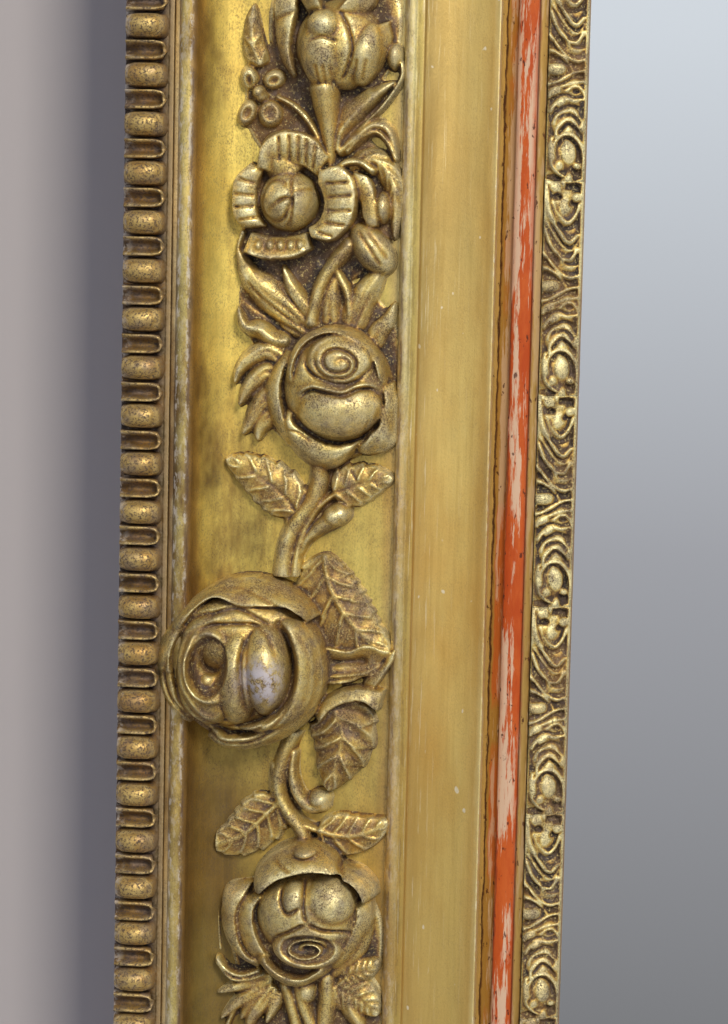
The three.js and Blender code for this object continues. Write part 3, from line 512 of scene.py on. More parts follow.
gilded_gadroon = gadroon_finish()
gadroon_section = worn(
    [
        (0.2, GADROON_SEAT),
        (14.9, GADROON_SEAT),
        (14.9, 59.4),
        (15.2, 59.7),
        (15.2, GADROON_FLOOR + 0.3),
        (13.9, GADROON_FLOOR + 0.3),
        (13.5, GADROON_FLOOR),
        (0.9, GADROON_FLOOR),
        (0.2, GADROON_FLOOR - 0.8),
    ],
    0.3,
)
for side, (_, length) in SIDES.items():
    bm = moulding(gadroon_section, side, 8, 0)
    lay = bm.verts.layers.float_vector["lay"]
    loose = bmesh.new()
    start, run = GADROON_WIDTH / 2, length - GADROON_WIDTH
    count = round((run - GADROON_WIDTH) / GADROON_PITCH)
    pitch = run / count
    foot = GADROON_FLOOR - 0.1
    for k in range(count):
        # No two cushions or flutes stand or swell quite alike.
        moved, swollen, shifted = (noise.noise((k * 3.7, n, len(side))) for n in range(3))
        middle = start + run * (k + 0.5) / count + 0.3 * moved
        cushion(loose, middle, pitch * 0.57, 0.3, 13.6, foot, GADROON_TOP - 0.25 + 0.25 * swollen)
        if k:
            between = start + run * k / count + 0.3 * shifted
            flute(loose, between, pitch * 0.43, 0.35, 13.4, foot, GADROON_FLOOR + 4.4, 0.45)
    places = np.array([v.co for v in loose.verts])
    shown = upright(side, *places.T)
    kept = [bm.verts.new(co) for co in shown]
    for v, place in zip(kept, places * MM):
        v[lay] = place
    for face in loose.faces:
        bm.faces.new([kept[v.index] for v in face.verts])
    loose.free()
    piece(f"{side}_gadroons", bm, [gilded_gadroon], nodes=[f"{side}_gadroon_moulding"])

# ---- The slip: the inner frame with the red band ----
# A thin pine moulding dropped into the rebate from the back. Its gold is worn off the band, which
# shows the red bole and streaks of white gesso.


def slip_finish():
    """Gold, a dark line of painted shade beside the hollow's edge, a brown step, the red band and its gold
    listel, by the distance from the outer edge.
    """
    material, tree, shader = finish("slip_bole_and_gold", Specular_IOR_Level=0.2)
    lay, along, across, _ = laid(tree)
    ragged = grain(tree, lay, 420, 6, 0.72, (0.25, 1, 1))
    share = share_between(tree, HOLLOW_END, EDGE, across, ragged, 2.4)

    def at(u):
        return (u - HOLLOW_END) / (EDGE - HOLLOW_END)

    colour = ramp(
        tree,
        share,
        (at(112.2), tone(190, 154, 86)),
        (at(112.9), tone(184, 146, 76)),
        # The dark line from 113.2 to 113.5 is painted shade at the foot of the hollow's inner wall.
        (at(113.2), tone(64, 38, 22)),
        (at(113.5), tone(92, 56, 26)),
        (at(113.9), tone(164, 122, 54)),
        (at(116.4), tone(160, 112, 44)),
        (at(116.9), tone(150, 92, 42)),
        (at(117.3), tone(112, 46, 26)),
        (at(117.9), tone(186, 84, 28)),
        (at(122.4), tone(188, 90, 34)),
        (at(123.2), tone(172, 84, 42)),
        (at(123.7), tone(150, 108, 62)),
        (at(124.3), tone(172, 136, 72)),
        (at(125.5), tone(150, 116, 56)),
        (at(126.2), tone(90, 62, 32)),
        (at(137), tone(170, 140, 82)),
    )
    # In places the gold of the step beside the band is gone too.
    worn_step = ramp(tree, grain(tree, lay, 16, 4, 0.65, (0.6, 0.3, 1)), (0.47, 0.0), (0.51, 1.0))
    step = ramp(tree, share, (at(114.1), 0.0), (at(114.6), 0.9), (at(116.9), 0.9), (at(117.3), 0.0))
    colour = blend(tree, sums(tree, "MULTIPLY", worn_step, step), colour, tone(182, 92, 36))
    streaks = grain(tree, lay, 420, 4, 0.65, (0.08, 1, 1))
    band = ramp(tree, share, (at(117.2), 0.0), (at(117.8), 1.0), (at(122.8), 1.0), (at(123.6), 0.0))
    deep = ramp(tree, grain(tree, lay, 90, 5, 0.7, (0.3, 1, 1)), (0.42, 0.0), (0.6, 0.9))
    colour = blend(tree, sums(tree, "MULTIPLY", deep, band), colour, tone(168, 64, 16))
    # Streaks of bare gesso run along the band, most of all where hands have reached.
    handled = ramp(tree, along, (0.5, 0.0), (0.7, 0.055), (0.84, 0.05), (0.9, 0.0))
    patches = sums(tree, "ADD", grain(tree, lay, 250, 6, 0.72, (0.09, 1, 1)), handled)
    amid = ramp(
        tree,
        share,
        (at(114.4), 0.0),
        (at(114.9), 0.7),
        (at(117), 0.45),
        (at(118.4), 1.0),
        (at(121.6), 1.0),
        (at(123), 0.3),
    )
    bare = sums(tree, "MULTIPLY", ramp(tree, patches, (0.51, 0.0), (0.55, 0.9)), amid)
    colour = blend(tree, bare, colour, tone(204, 174, 142))
    dark = ramp(tree, grain(tree, lay, 560, 3, 0.6, (0.5, 1, 1)), (0.64, 0.0), (0.68, 0.85))
    colour = blend(tree, dark, colour, tone(70, 32, 20))
    tree.links.new(colour, shader.inputs["Base Color"])
    metal = ramp(tree, share, (at(116.4), 0.5), (at(117), 0.0), (at(123.4), 0.0), (at(124), 0.5), (at(138), 0.65))
    tree.links.new(metal, shader.inputs["Metallic"])
    tree.links.new(ramp(tree, streaks, (0.3, 0.5), (0.7, 0.68)), shader.inputs["Roughness"])
    relief(tree, shader, sums(tree, "ADD", streaks, patches), 0.25, 0.6)
    return material


slip_face = slip_finish()
slip_section = worn(
    [
        (REBATE + 0.3, 30),
        (EDGE, 30),
        (EDGE, 36),
        (SIGHT, 41),
        (SIGHT, 42.2),
        (RED_LISTEL, 42.2),
        (RED_LISTEL, 41),
        *bowed((RED_LISTEL, 41), (RED, 41), -0.8, 8),
        (RED, 39.5),
        (112.3, 37.7),
        (REBATE + 0.3, 37.7),
    ],
    0.3,
)
for side, (kind, _) in SIDES.items():
    bm = moulding(slip_section, side, 8, 0.12)
    faced(bm, 35.5)
    piece(f"{side}_slip_moulding", bm, [bare_pine[kind], slip_face], nodes=[f"{side}_slip"])

# ---- The pressed ornament of the frieze ----
# Roses, leaves and stems of composition, pressed in carved moulds, laid along the frieze while still
# soft, then gilded with it. The gold is bright on the crests and brown with dirt in the hollows.
GARLAND_LINE = 59.06  # the garland's middle, from the frame's outer edge


class Clay:
    """A pad of composition, modelled form by form as heights over the frieze, in millimetres: x across
    the frieze towards the glass, y along it from the middle of the side, upwards on the left stile.
    Forms may be turned end for end, moved and enlarged as they are laid."""

    def __init__(self, left, right, low, high, cell=0.3):
        self.cell = cell
        self.x, self.y = np.meshgrid(np.arange(left, right, cell), np.arange(low, high, cell))
        self.h = np.full(self.x.shape, -1.0)
        self.way, self.centre, self.scale = 1, np.zeros(2), 1.0

    def place(self, places):
        return (np.reshape(places, (-1, 2)) * (1, self.way) - self.centre) * self.scale

    def path(self, places):
        """A smooth line through the places, in short steps."""
        knots = self.place(places)
        knots = np.vstack([2 * knots[0] - knots[1], knots, 2 * knots[-1] - knots[-2]])
        steps = []
        for a, b, c, d in zip(knots, knots[1:], knots[2:], knots[3:]):
            count = max(2, int(np.linalg.norm(c - b) / 0.3))
            t = np.linspace(0, 1, count, endpoint=False)[:, None]
            bend, twist = 2 * a - 5 * b + 4 * c - d, 3 * b - a - 3 * c + d
            steps.append(0.5 * (2 * b + (c - a) * t + bend * t**2 + twist * t**3))
        return np.vstack([*steps, knots[-2:-1]])

    def window(self, points, reach):
        """The rows and columns of the pad within reach of the points."""
        corner = np.array([self.x[0, 0], self.y[0, 0]])
        low = (points.min(0) - reach - corner) / self.cell
        high = (points.max(0) + reach - corner) / self.cell + 1
        columns, rows = (slice(*np.clip([low[k], high[k]], 0, self.x.shape[1 - k]).astype(int)) for k in (0, 1))
        return rows, columns

    def beside(self, line, reach):
        """A window of the pad along a line, each cell's distance from it and share of the way along."""
        window = self.window(line, reach)
        x, y = self.x[window], self.y[window]
        apart = np.hypot(x[..., None] - line[:, 0], y[..., None] - line[:, 1])
        return window, apart.min(-1), apart.argmin(-1) / (len(line) - 1)

    def oval(self, at, reach, turn):
        """A window of the pad about an oval, and how far inside it each cell lies, above 0 within."""
        centre = self.place(at)
        rx, ry = np.array(reach) * self.scale
        window = self.window(centre, max(rx, ry))
        dx, dy = self.x[window] - centre[0, 0], self.y[window] - centre[0, 1]
        angle = math.radians(turn) * self.way
        a = dx * math.cos(angle) + dy * math.sin(angle)
        b = dy * math.cos(angle) - dx * math.sin(angle)
        return window, 1 - (a / rx) ** 2 - (b / ry) ** 2

    def lump(self, at, reach, low, high, turn=0, blunt=0.5):
        """A rounded swelling."""
        window, inside = self.oval(at, reach, turn)
        z = low + (high - low) * np.maximum(inside, 0) ** blunt
        self.h[window] = np.where(inside > 0, np.maximum(self.h[window], z * self.scale), self.h[window])

    def hollow(self, at, reach, depth, turn=0):
        """A round-bottomed hollow."""
        window, inside = self.oval(at, reach, turn)
        self.h[window] -= depth * self.scale * np.maximum(inside, 0) ** 0.7

    def strand(self, places, width, low, high, ends=(1, 1)):
        """A stem, or any cord of round section."""
        window, apart, along = self.beside(self.path(places), 2 * width * self.scale)
        size = ends[0] + (ends[1] - ends[0]) * along
        across = apart / (width * self.scale * size)
        z = low + (high - low) * (0.5 + 0.5 * size) * np.sqrt(np.maximum(1 - across**2, 0))
        self.h[window] = np.where(across < 1, np.maximum(self.h[window], z * self.scale), self.h[window])

    def crease(self, places, width, depth):
        """A line scored into the forms, or with a negative depth a fine ridge on them."""
        window, apart, along = self.beside(self.path(places), 3 * width * self.scale)
        fade = np.clip(np.minimum(along, 1 - along) * 7, 0, 1)
        cut = depth * fade * np.exp(-1.6 * (apart / (width * self.scale)) ** 2)
        self.h[window] -= np.where(self.h[window] > 0.3, cut * self.scale, 0)

    def lay(self, x, y, z):
        """Raises the pad to a sheet of points wherever it lies lower."""
        column = np.rint((x - self.x[0, 0]) / self.cell).astype(int)
        row = np.rint((y - self.y[0, 0]) / self.cell).astype(int)
        kept = (column >= 0) & (row >= 0) & (column < self.x.shape[1]) & (row < self.y.shape[0])
        np.maximum.at(self.h, (row[kept], column[kept]), (z * self.scale)[kept])

    def band(self, edge, other, low, high, swell):
        """A petal between two edges, each at its own height, swelling between them."""
        first, second = self.path(edge), self.path(other)
        count = int(2.2 * max(len(first), len(second)))
        share = np.linspace(0, 1, count)
        first, second = (
            np.stack([np.interp(share, np.linspace(0, 1, len(line)), line[:, k]) for k in (0, 1)], 1)
            for line in (first, second)
        )
        span = np.linalg.norm(first - second, axis=1).max()
        q = np.linspace(0, 1, max(3, int(span / 0.12)))[:, None]
        x, y = (first[:, k] * (1 - q) + second[:, k] * q for k in (0, 1))
        ends = 1 - np.clip(np.minimum(share, 1 - share) * 7, 0, 1)
        z = low + (high - low) * q + 4 * swell * q * (1 - q) + 0 * x
        self.lay(x, y, z - 0.4 * (z - low / 2) * ends**2)

    def leaf(self, places, left, right, low, high, veins=0, teeth=0, rib=0, shape=0.5, ruffle=0):
        """A leaf along its midrib, from its stalk to its tip, with its two half widths."""
        line = self.path(places)
        count = int(2.4 * len(line))
        p = np.linspace(0, 1, count)
        line = np.stack([np.interp(p, np.linspace(0, 1, len(line)), line[:, k]) for k in (0, 1)], 1)
        way = np.gradient(line, axis=0)
        way /= np.linalg.norm(way, axis=1)[:, None]
        outline = np.sin(np.pi * p**shape) ** 0.6
        if teeth:
            outline *= 0.93 + 0.14 * ((teeth * p) % 1)
        q = np.linspace(-1, 1, int((left + right) * self.scale / 0.13))[:, None]
        reach = outline * np.where(q > 0, left, right) * self.scale * self.way
        x = line[:, 0] - way[:, 1] * q * reach * self.way
        y = line[:, 1] + way[:, 0] * q * reach * self.way
        near = np.exp(-((q * reach / (0.75 * self.scale)) ** 2))
        z = low + (high - low) * (1 - q**2) * (0.7 + 0.3 * np.sin(np.pi * p)) + rib * near * (1.1 - p)
        if veins:
            phase = np.cos(2 * np.pi * veins * (p - 0.22 * np.abs(q)))
            z += (0.85 * np.maximum(phase, 0) ** 8 - 0.18) * (1 - near) * (1 - q**6)
            z += ruffle * phase * np.abs(q) ** 0.5
        self.lay(x, y, z)


def lay_boss(clay):
    """The large rose at the middle of a side, and its leaves."""
    clay.lump((-21.2, -4), (23.5, 23.6), 0, 21.5, blunt=0.42)
    clay.band((-45.1, 3.1, -43.1, 9.6, -38.4, 15.4, -32.6, 19.8, -24.9, 23.4, -16.7, 24.2, -7.8, 21.9, -1.3, 18.1,
        2.6, 13.2), (-39.5, 5.4, -37.2, 10.8, -32.6, 16.2, -27.3, 18.8, -20.3, 16.7, -13.2, 16.7, -6.2, 16.4,
        -2.1, 13.9, -0.3, 11.4), 9, 20.5, 2.6)
    clay.band((-47.1, -6.9, -47.5, -0.9, -46.1, 5.1, -42.3, 10.6), (-41.3, -6.6, -41.3, 0.5, -39.1, 6.4, -35.6,
        11.3), 10, 19, 1.8)
    clay.band((-38.2, -23.2, -43.1, -17.4, -46.2, -11.6, -47.4, -4.5), (-33.4, -18.7, -38.2, -13.6, -40.7, -7.8,
        -41.5, -1.9), 10, 17.5, 1.6)
    clay.band((-31.6, -25.9, -25.6, -28.9, -18.4, -29.2, -10.1, -27, -3.1, -22.8, 2.1, -17.2, 4, -10.6), (-28.4,
        -22.7, -23.1, -24.3, -16, -23.3, -9, -20.4, -3.8, -17.2, -0.4, -12.9, 1.3, -8.2), 10, 19, 1.5)
    clay.band((-8, 15.4, -1.5, 12.2, 3.3, 6, 5.2, -2.1, 4.8, -9.2, 2, -15.2, -3.8, -20.1, -11.3, -23.7), (-9.6,
        11.9, -5.5, 7.4, -3.6, 0.5, -4, -6.5, -6.3, -12.5, -9.7, -16.7, -14.3, -19.3, -20.1, -21.3), 14, 23.5,
        3.2)
    clay.lump((-20, 8), (20.5, 11), 8, 22.0, blunt=0.3)
    clay.lump((-28.5, -3.7), (12.2, 18.2), 8, 26.5, turn=-4, blunt=0.38)
    clay.lump((-20.1, -4), (8.6, 17.4), 10, 28.5, turn=-3)
    clay.hollow((-28.9, -2), (6.6, 9.6), 9, turn=-6)
    clay.lump((-29.6, -7.1), (5.4, 5.2), 8, 20.5, blunt=0.6)
    clay.hollow((-28.9, -0.5), (3.6, 4.8), 7)
    clay.crease((-24.9, 5.2, -26.1, 7.7, -29.6, 8.7, -33.1, 7.2, -35.1, 3, -35.9, -1.7, -34.6, -6.9, -31.6, -10.6,
        -27.5, -12.2, -22.9, -11.1), 1.1, -2.2)
    clay.crease((-23, 13.7, -30, 11.6, -35.8, 7.9, -38.1, 2.6, -37.7, -3.3, -36.1, -9.7, -31.9, -15.9, -27.2,
        -18.1, -23.2, -14.4), 1.2, -1.4)
    clay.crease((-21.3, 14.9, -31.2, 13.3, -37, 9.6, -39.6, 3.1, -39.6, -3.4, -37.9, -10.3, -33.1, -17.2, -26,
        -21.8, -20.1, -22.2), 0.9, 1.6)
    clay.lump((-11.2, -2.5), (8.1, 15.8), 12, 31.0, turn=5, blunt=0.45)
    clay.crease((-15.2, 11.8, -17.4, 7.1, -18.4, 1.8, -18.3, -5.1, -17.6, -12.1, -16.4, -17.2), 0.9, 2.4)
    clay.crease((-8.8, 12.8, -5.8, 7.7, -3.8, 0.8, -3.8, -5.6, -5.7, -11.5, -8.8, -15.4, -12.8, -18.2), 1.9, 6.5)
    clay.crease((-29.2, -23.5, -22.7, -24, -15.7, -21.8, -11.1, -18.9), 0.8, 2.2)
    clay.crease((-4.1, 11.8, 0.7, 6.7, 2.6, -1.4, 2.2, -9.7, -1.2, -15.7), 0.8, -0.7)
    clay.lump((-20, 5.5), (17, 12.5), 8, 23)
    for reach, start, end, depth in (
        (22.2, 168, 318, 2.0),
        (20.0, 186, 340, 1.7),
        (17.4, 196, 322, 1.5),
        (15.4, 20, 150, 1.7),
        (18.4, 35, 128, 1.4),
        (24.4, 40, 138, 1.0),
    ):
        turns = np.radians(np.linspace(start, end, 9))
        uneven = reach + 0.7 * np.sin(5 * turns + reach)
        clay.crease(np.stack([-21 + uneven * np.cos(turns), -3.6 + uneven * np.sin(turns)], 1), 0.75, depth)
    clay.leaf((3.9, 31.4, 4.3, 26.1, 6.2, 20.2, 9.9, 13.8, 14.7, 8.1, 19.5, 4.7, 24.4, 1.7), 8.0, 12.5, 3.0, 5.6,
        veins=6, teeth=9, rib=0.9, shape=0.85)
    clay.band((0.3, 3.7, 5.6, 2.7, 11.6, 1.9, 17.4, 3.8, 24.3, 1.8), (0.8, -8.6, 6.2, -9, 12.1, -8.1, 16.8, -6.1,
        19.8, -5.4), 6.5, 4.5, -1.5)
    clay.band((26.2, 2.8, 25.4, -0.8, 22.8, -5.1, 19.7, -10), (22.5, 0.5, 20.8, -3.1, 17.9, -5.6, 16.2, -8.7),
        5.5, 3, 0.6)
    clay.crease((3.4, -6.6, 11.1, -6, 17.6, -4.6, 22.3, -1.7), 0.7, -1.1)
    clay.crease((5, -2.3, 10.9, -1.7, 18, -1.1), 1.6, 2.4)
    clay.leaf((5.1, -14, 8.4, -17.5, 10.3, -23.4, 9.9, -29.4, 8.2, -35.5, 6.3, -42.2), 10.0, 10.0, 3.0, 7.5,
        veins=5, teeth=6, rib=0.3, shape=0.6, ruffle=1.0)
    clay.band((1.7, -17.2, 5.7, -12.9, 11, -10.3, 16.9, -9.4, 22.7, -10.5), (3.1, -20.7, 6.6, -16.4, 11.3, -13.8,
        16.6, -13.2, 21.4, -16.3), 7, 9.5, 0.8)


def lay_lower_stems(clay):
    """The stems and leaves from the boss down to the lower rose."""
    clay.strand((-4.6, -23.4, -5.8, -26.6, -7, -29.7, -8.4, -34, -9.5, -38.9, -9.1, -44.3, -6.6, -49.6, -2.9,
        -54.3, -0.7, -59, 0.6, -63.8), 2.6, 0, 5.5)
    clay.strand((-11.3, -35.4, -11.5, -41.4, -11.1, -46.8), 1.1, 0, 3.6)
    clay.strand((-4.8, -30.9, -5.3, -35.7, -4.7, -40.5, -2.8, -44.6, 0.6, -47.5, 4.1, -46.7), 2.2, 0, 5.5,
        ends=(0.6, 1.3))
    clay.lump((3.4, -45.4), (4.0, 3.2), 0, 7.5, turn=25)
    clay.strand((-9.4, -46.7, -5.5, -51.4, -0.2, -54.3, 5.6, -55.7, 10.9, -56.3), 1.9, 0, 4.6, ends=(1.2, 0.5))
    clay.leaf((-9.4, -47, -13.7, -51.3, -18.9, -56.4, -24.6, -59.6, -32.1, -61.1), 8.0, 7.4, 2.6, 4.2, veins=6,
        teeth=6, rib=0.9, shape=0.6)
    clay.leaf((3.2, -54.9, 8, -56.1, 12.8, -56.3, 17.6, -55.3, 21.8, -53.4, 25, -51.1), 6.6, 6.4, 2.8, 4.4,
        veins=5, rib=0.9, shape=0.65)


def lay_lower_rose(clay):
    """The rose with its mouth downwards, and the stalks and leaves that come out from under it."""
    clay.lump((0, -90), (24, 25), 0.1, 1.3, blunt=0.2)
    clay.lump((9, -112), (16, 15), 0.1, 1.1, blunt=0.2)
    clay.lump((0.7, -84.1), (20.5, 20.5), 0, 7.5, blunt=0.3)
    clay.band((-17, -72.2, -25.2, -74.5, -26.9, -82.4, -25.6, -90.2, -21.4, -96.1, -15, -100.2), (-18.1, -74.6,
        -21.3, -80.1, -21.5, -86.5, -19.7, -92.3, -17.2, -95.6, -13.8, -97.3), 3, 8, 1.2)
    clay.band((-20, -76.2, -21.7, -81.6, -21.2, -87.5, -18.2, -93.7, -14.8, -96.9), (-13.7, -75.6, -16, -80.5,
        -15.5, -86.3, -13, -92, -10, -95.3), 6, 9.5, 0.3)
    clay.band((20.6, -76, 20.9, -82.3, 18.5, -88.8, 14.3, -95.4, 9.1, -100.1), (16.2, -76.2, 16.4, -81.5, 14.1,
        -87.9, 11.4, -92.9, 7.1, -96.6), 4, 9.5, 0.8)
    clay.lump((1, -81), (16.6, 15.2), 2, 16.6)
    clay.lump((7.5, -76), (8.6, 8.4), 9, 17.6, blunt=0.6)
    clay.lump((-2.2, -75.8), (5.2, 7.2), 9, 17.2, blunt=0.6)
    clay.crease((-6.5, -71.2, -6.6, -76, -4.2, -78.9, 0.1, -76.4), 0.8, 1.7)
    clay.crease((0.6, -68.4, 0.5, -73.3, 0.8, -78, 1.8, -81.6), 0.7, 2.0)
    clay.crease((1.8, -81.6, -3.1, -84.5, -7.8, -87.4, -9.9, -91.1), 0.8, 2.2)
    clay.crease((1.8, -81.6, 6.4, -83.7, 12.1, -84.7, 15.4, -86.1), 0.8, 2.2)
    clay.lump((1.5, -90.6), (11.4, 7.4), 6, 16.4, blunt=0.4)
    clay.hollow((2, -90.4), (8.6, 5.0), 5.5)
    clay.lump((2.2, -90.7), (7.4, 4.4), 6, 15.6, blunt=0.4)
    clay.hollow((2.3, -90.6), (6.2, 3.5), 6.0)
    clay.crease((8.0, -90.9, 6.0, -88.3, 1.6, -87.6, -2.6, -88.9, -3.6, -91.4, -0.6, -93.3, 3.6, -93.1, 5.8,
        -91.2, 4.0, -89.6, 1.0, -89.6, -0.6, -90.9, 1.2, -91.8), 0.55, -3.0)
    clay.band((-16, -94.4, -11.5, -100.5, -5.7, -104.1, -0.4, -104.3, 4.8, -101.6, 9.1, -98.4), (-12.6, -93.9,
        -9.2, -97.6, -4.8, -100, 0, -100.5, 4.2, -98.3, 8, -95.6), 6, 12.5, 0.8)
    clay.band((-16.2, -73.7, -15.6, -67.9, -11.4, -62.8, -5.8, -59.4, -0.1, -57.9, 4.6, -58.7, 9.4, -61.8, 10.9,
        -65.5), (-13.6, -74.1, -10.8, -70.7, -6.1, -67.6, 0.5, -65.6, 5.2, -65.3, 8, -65.5, 10.4, -66, 11.8,
        -67.1), 7, 18.5, 2.0)
    clay.band((11.4, -64.6, 17.6, -66.7, 21.5, -70.8, 22.3, -74.6), (11.5, -67.9, 14.8, -69.2, 17.7, -72.4, 18.7,
        -75.7), 6, 15, 1.0)
    clay.lump((0.6, -60.2), (4.2, 1.9), 8, 17.6, turn=5)
    clay.crease((-9.1, -63, -5.7, -64.5, -3.3, -65.6), 0.5, 0.9)
    clay.strand((-27.7, -97.5, -24.2, -101.2, -19.9, -102.4, -14.6, -100.7), 1.0, 0, 5.5)
    clay.strand((-27.7, -98.7, -23.2, -103.6, -17.4, -103.5, -13.1, -101.8), 1.0, 0, 5.0)
    clay.strand((-28.9, -70.8, -28.6, -77.6, -27.9, -87.4, -27.3, -95.2), 0.5, 0, 1.5)
    clay.leaf((-10.3, -102.9, -16.6, -105, -22.4, -107, -27.9, -108.8), 2.4, 2.4, 2, 4.5, rib=-0.8)
    clay.leaf((-10.3, -104.9, -16, -108.2, -21.3, -111.9, -26.6, -117.2), 2.8, 2.6, 2, 4.8, rib=-0.8)
    clay.leaf((-9.3, -105.8, -13.1, -111, -16.4, -115.6, -18.2, -122.6), 3.0, 3.0, 2, 5.2, rib=-0.8)
    clay.leaf((-8.3, -107.2, -10.1, -112.8, -12, -117.8), 2.4, 2.4, 2, 5.0, rib=-0.6)
    clay.strand((-5.8, -105.3, -4.2, -110.6, -2.6, -116.4, -1, -123.2), 2.4, 0, 5.5)
    clay.lump((0.5, -106.4), (3.6, 5.0), 0, 7)
    clay.strand((6.7, -101.7, 7.1, -107.5, 6.5, -114.9, 4.8, -122.9), 3.2, 0, 6)
    clay.leaf((9.6, -104.7, 14.4, -106.4, 19.3, -109.1, 23.2, -113.3), 6.6, 6.8, 2.6, 4.6, veins=7, rib=-0.6,
        shape=0.55)
    clay.leaf((11.9, -101.2, 16.2, -99.9, 20, -98.3, 23.3, -95.6), 5.0, 4.0, 2.6, 4.6, veins=6, rib=-0.6,
        shape=0.55)


def lay_upper_stems(clay):
    """The stems and leaves from the boss up to the upper rose."""
    clay.strand((1.2, 58.1, 1, 53.5, -0.6, 47.9, -4.3, 42.1, -7.3, 36.4, -8.7, 30.7, -9.3, 23.5), 3.2, 0, 5.6,
        ends=(0.9, 1.1))
    clay.strand((7, 50.4, 2.7, 47.2, -0.8, 42.8, -3.2, 37.6, -4.9, 31.9, -5.8, 24.7), 2.0, 0, 5.2, ends=(0.5,
        1.0))
    clay.strand((7.9, 44.1, 4.4, 41.4, 0.9, 38.7, -2.2, 35.6, -3.9, 31.4), 2.4, 0, 6, ends=(1.5, 0.4))
    clay.lump((6.4, 43.2), (4.4, 3.6), 0, 8, turn=35)
    clay.strand((-9, 44.8, -8.4, 40.5, -9.1, 35.8), 1.0, 0, 3)
    clay.leaf((-5.5, 43.8, -9.5, 49, -15.5, 53.7, -21.8, 57.3, -27.9, 59.8), 7.6, 6.8, 2.8, 4.6, veins=5, teeth=6,
        rib=-0.8, shape=0.62)
    clay.leaf((5.6, 50.3, 10.2, 52, 15.2, 53.7, 19.8, 54.8, 24.1, 55.3), 6.4, 6.2, 2.8, 4.6, veins=5, teeth=5,
        rib=-0.8, shape=0.6)


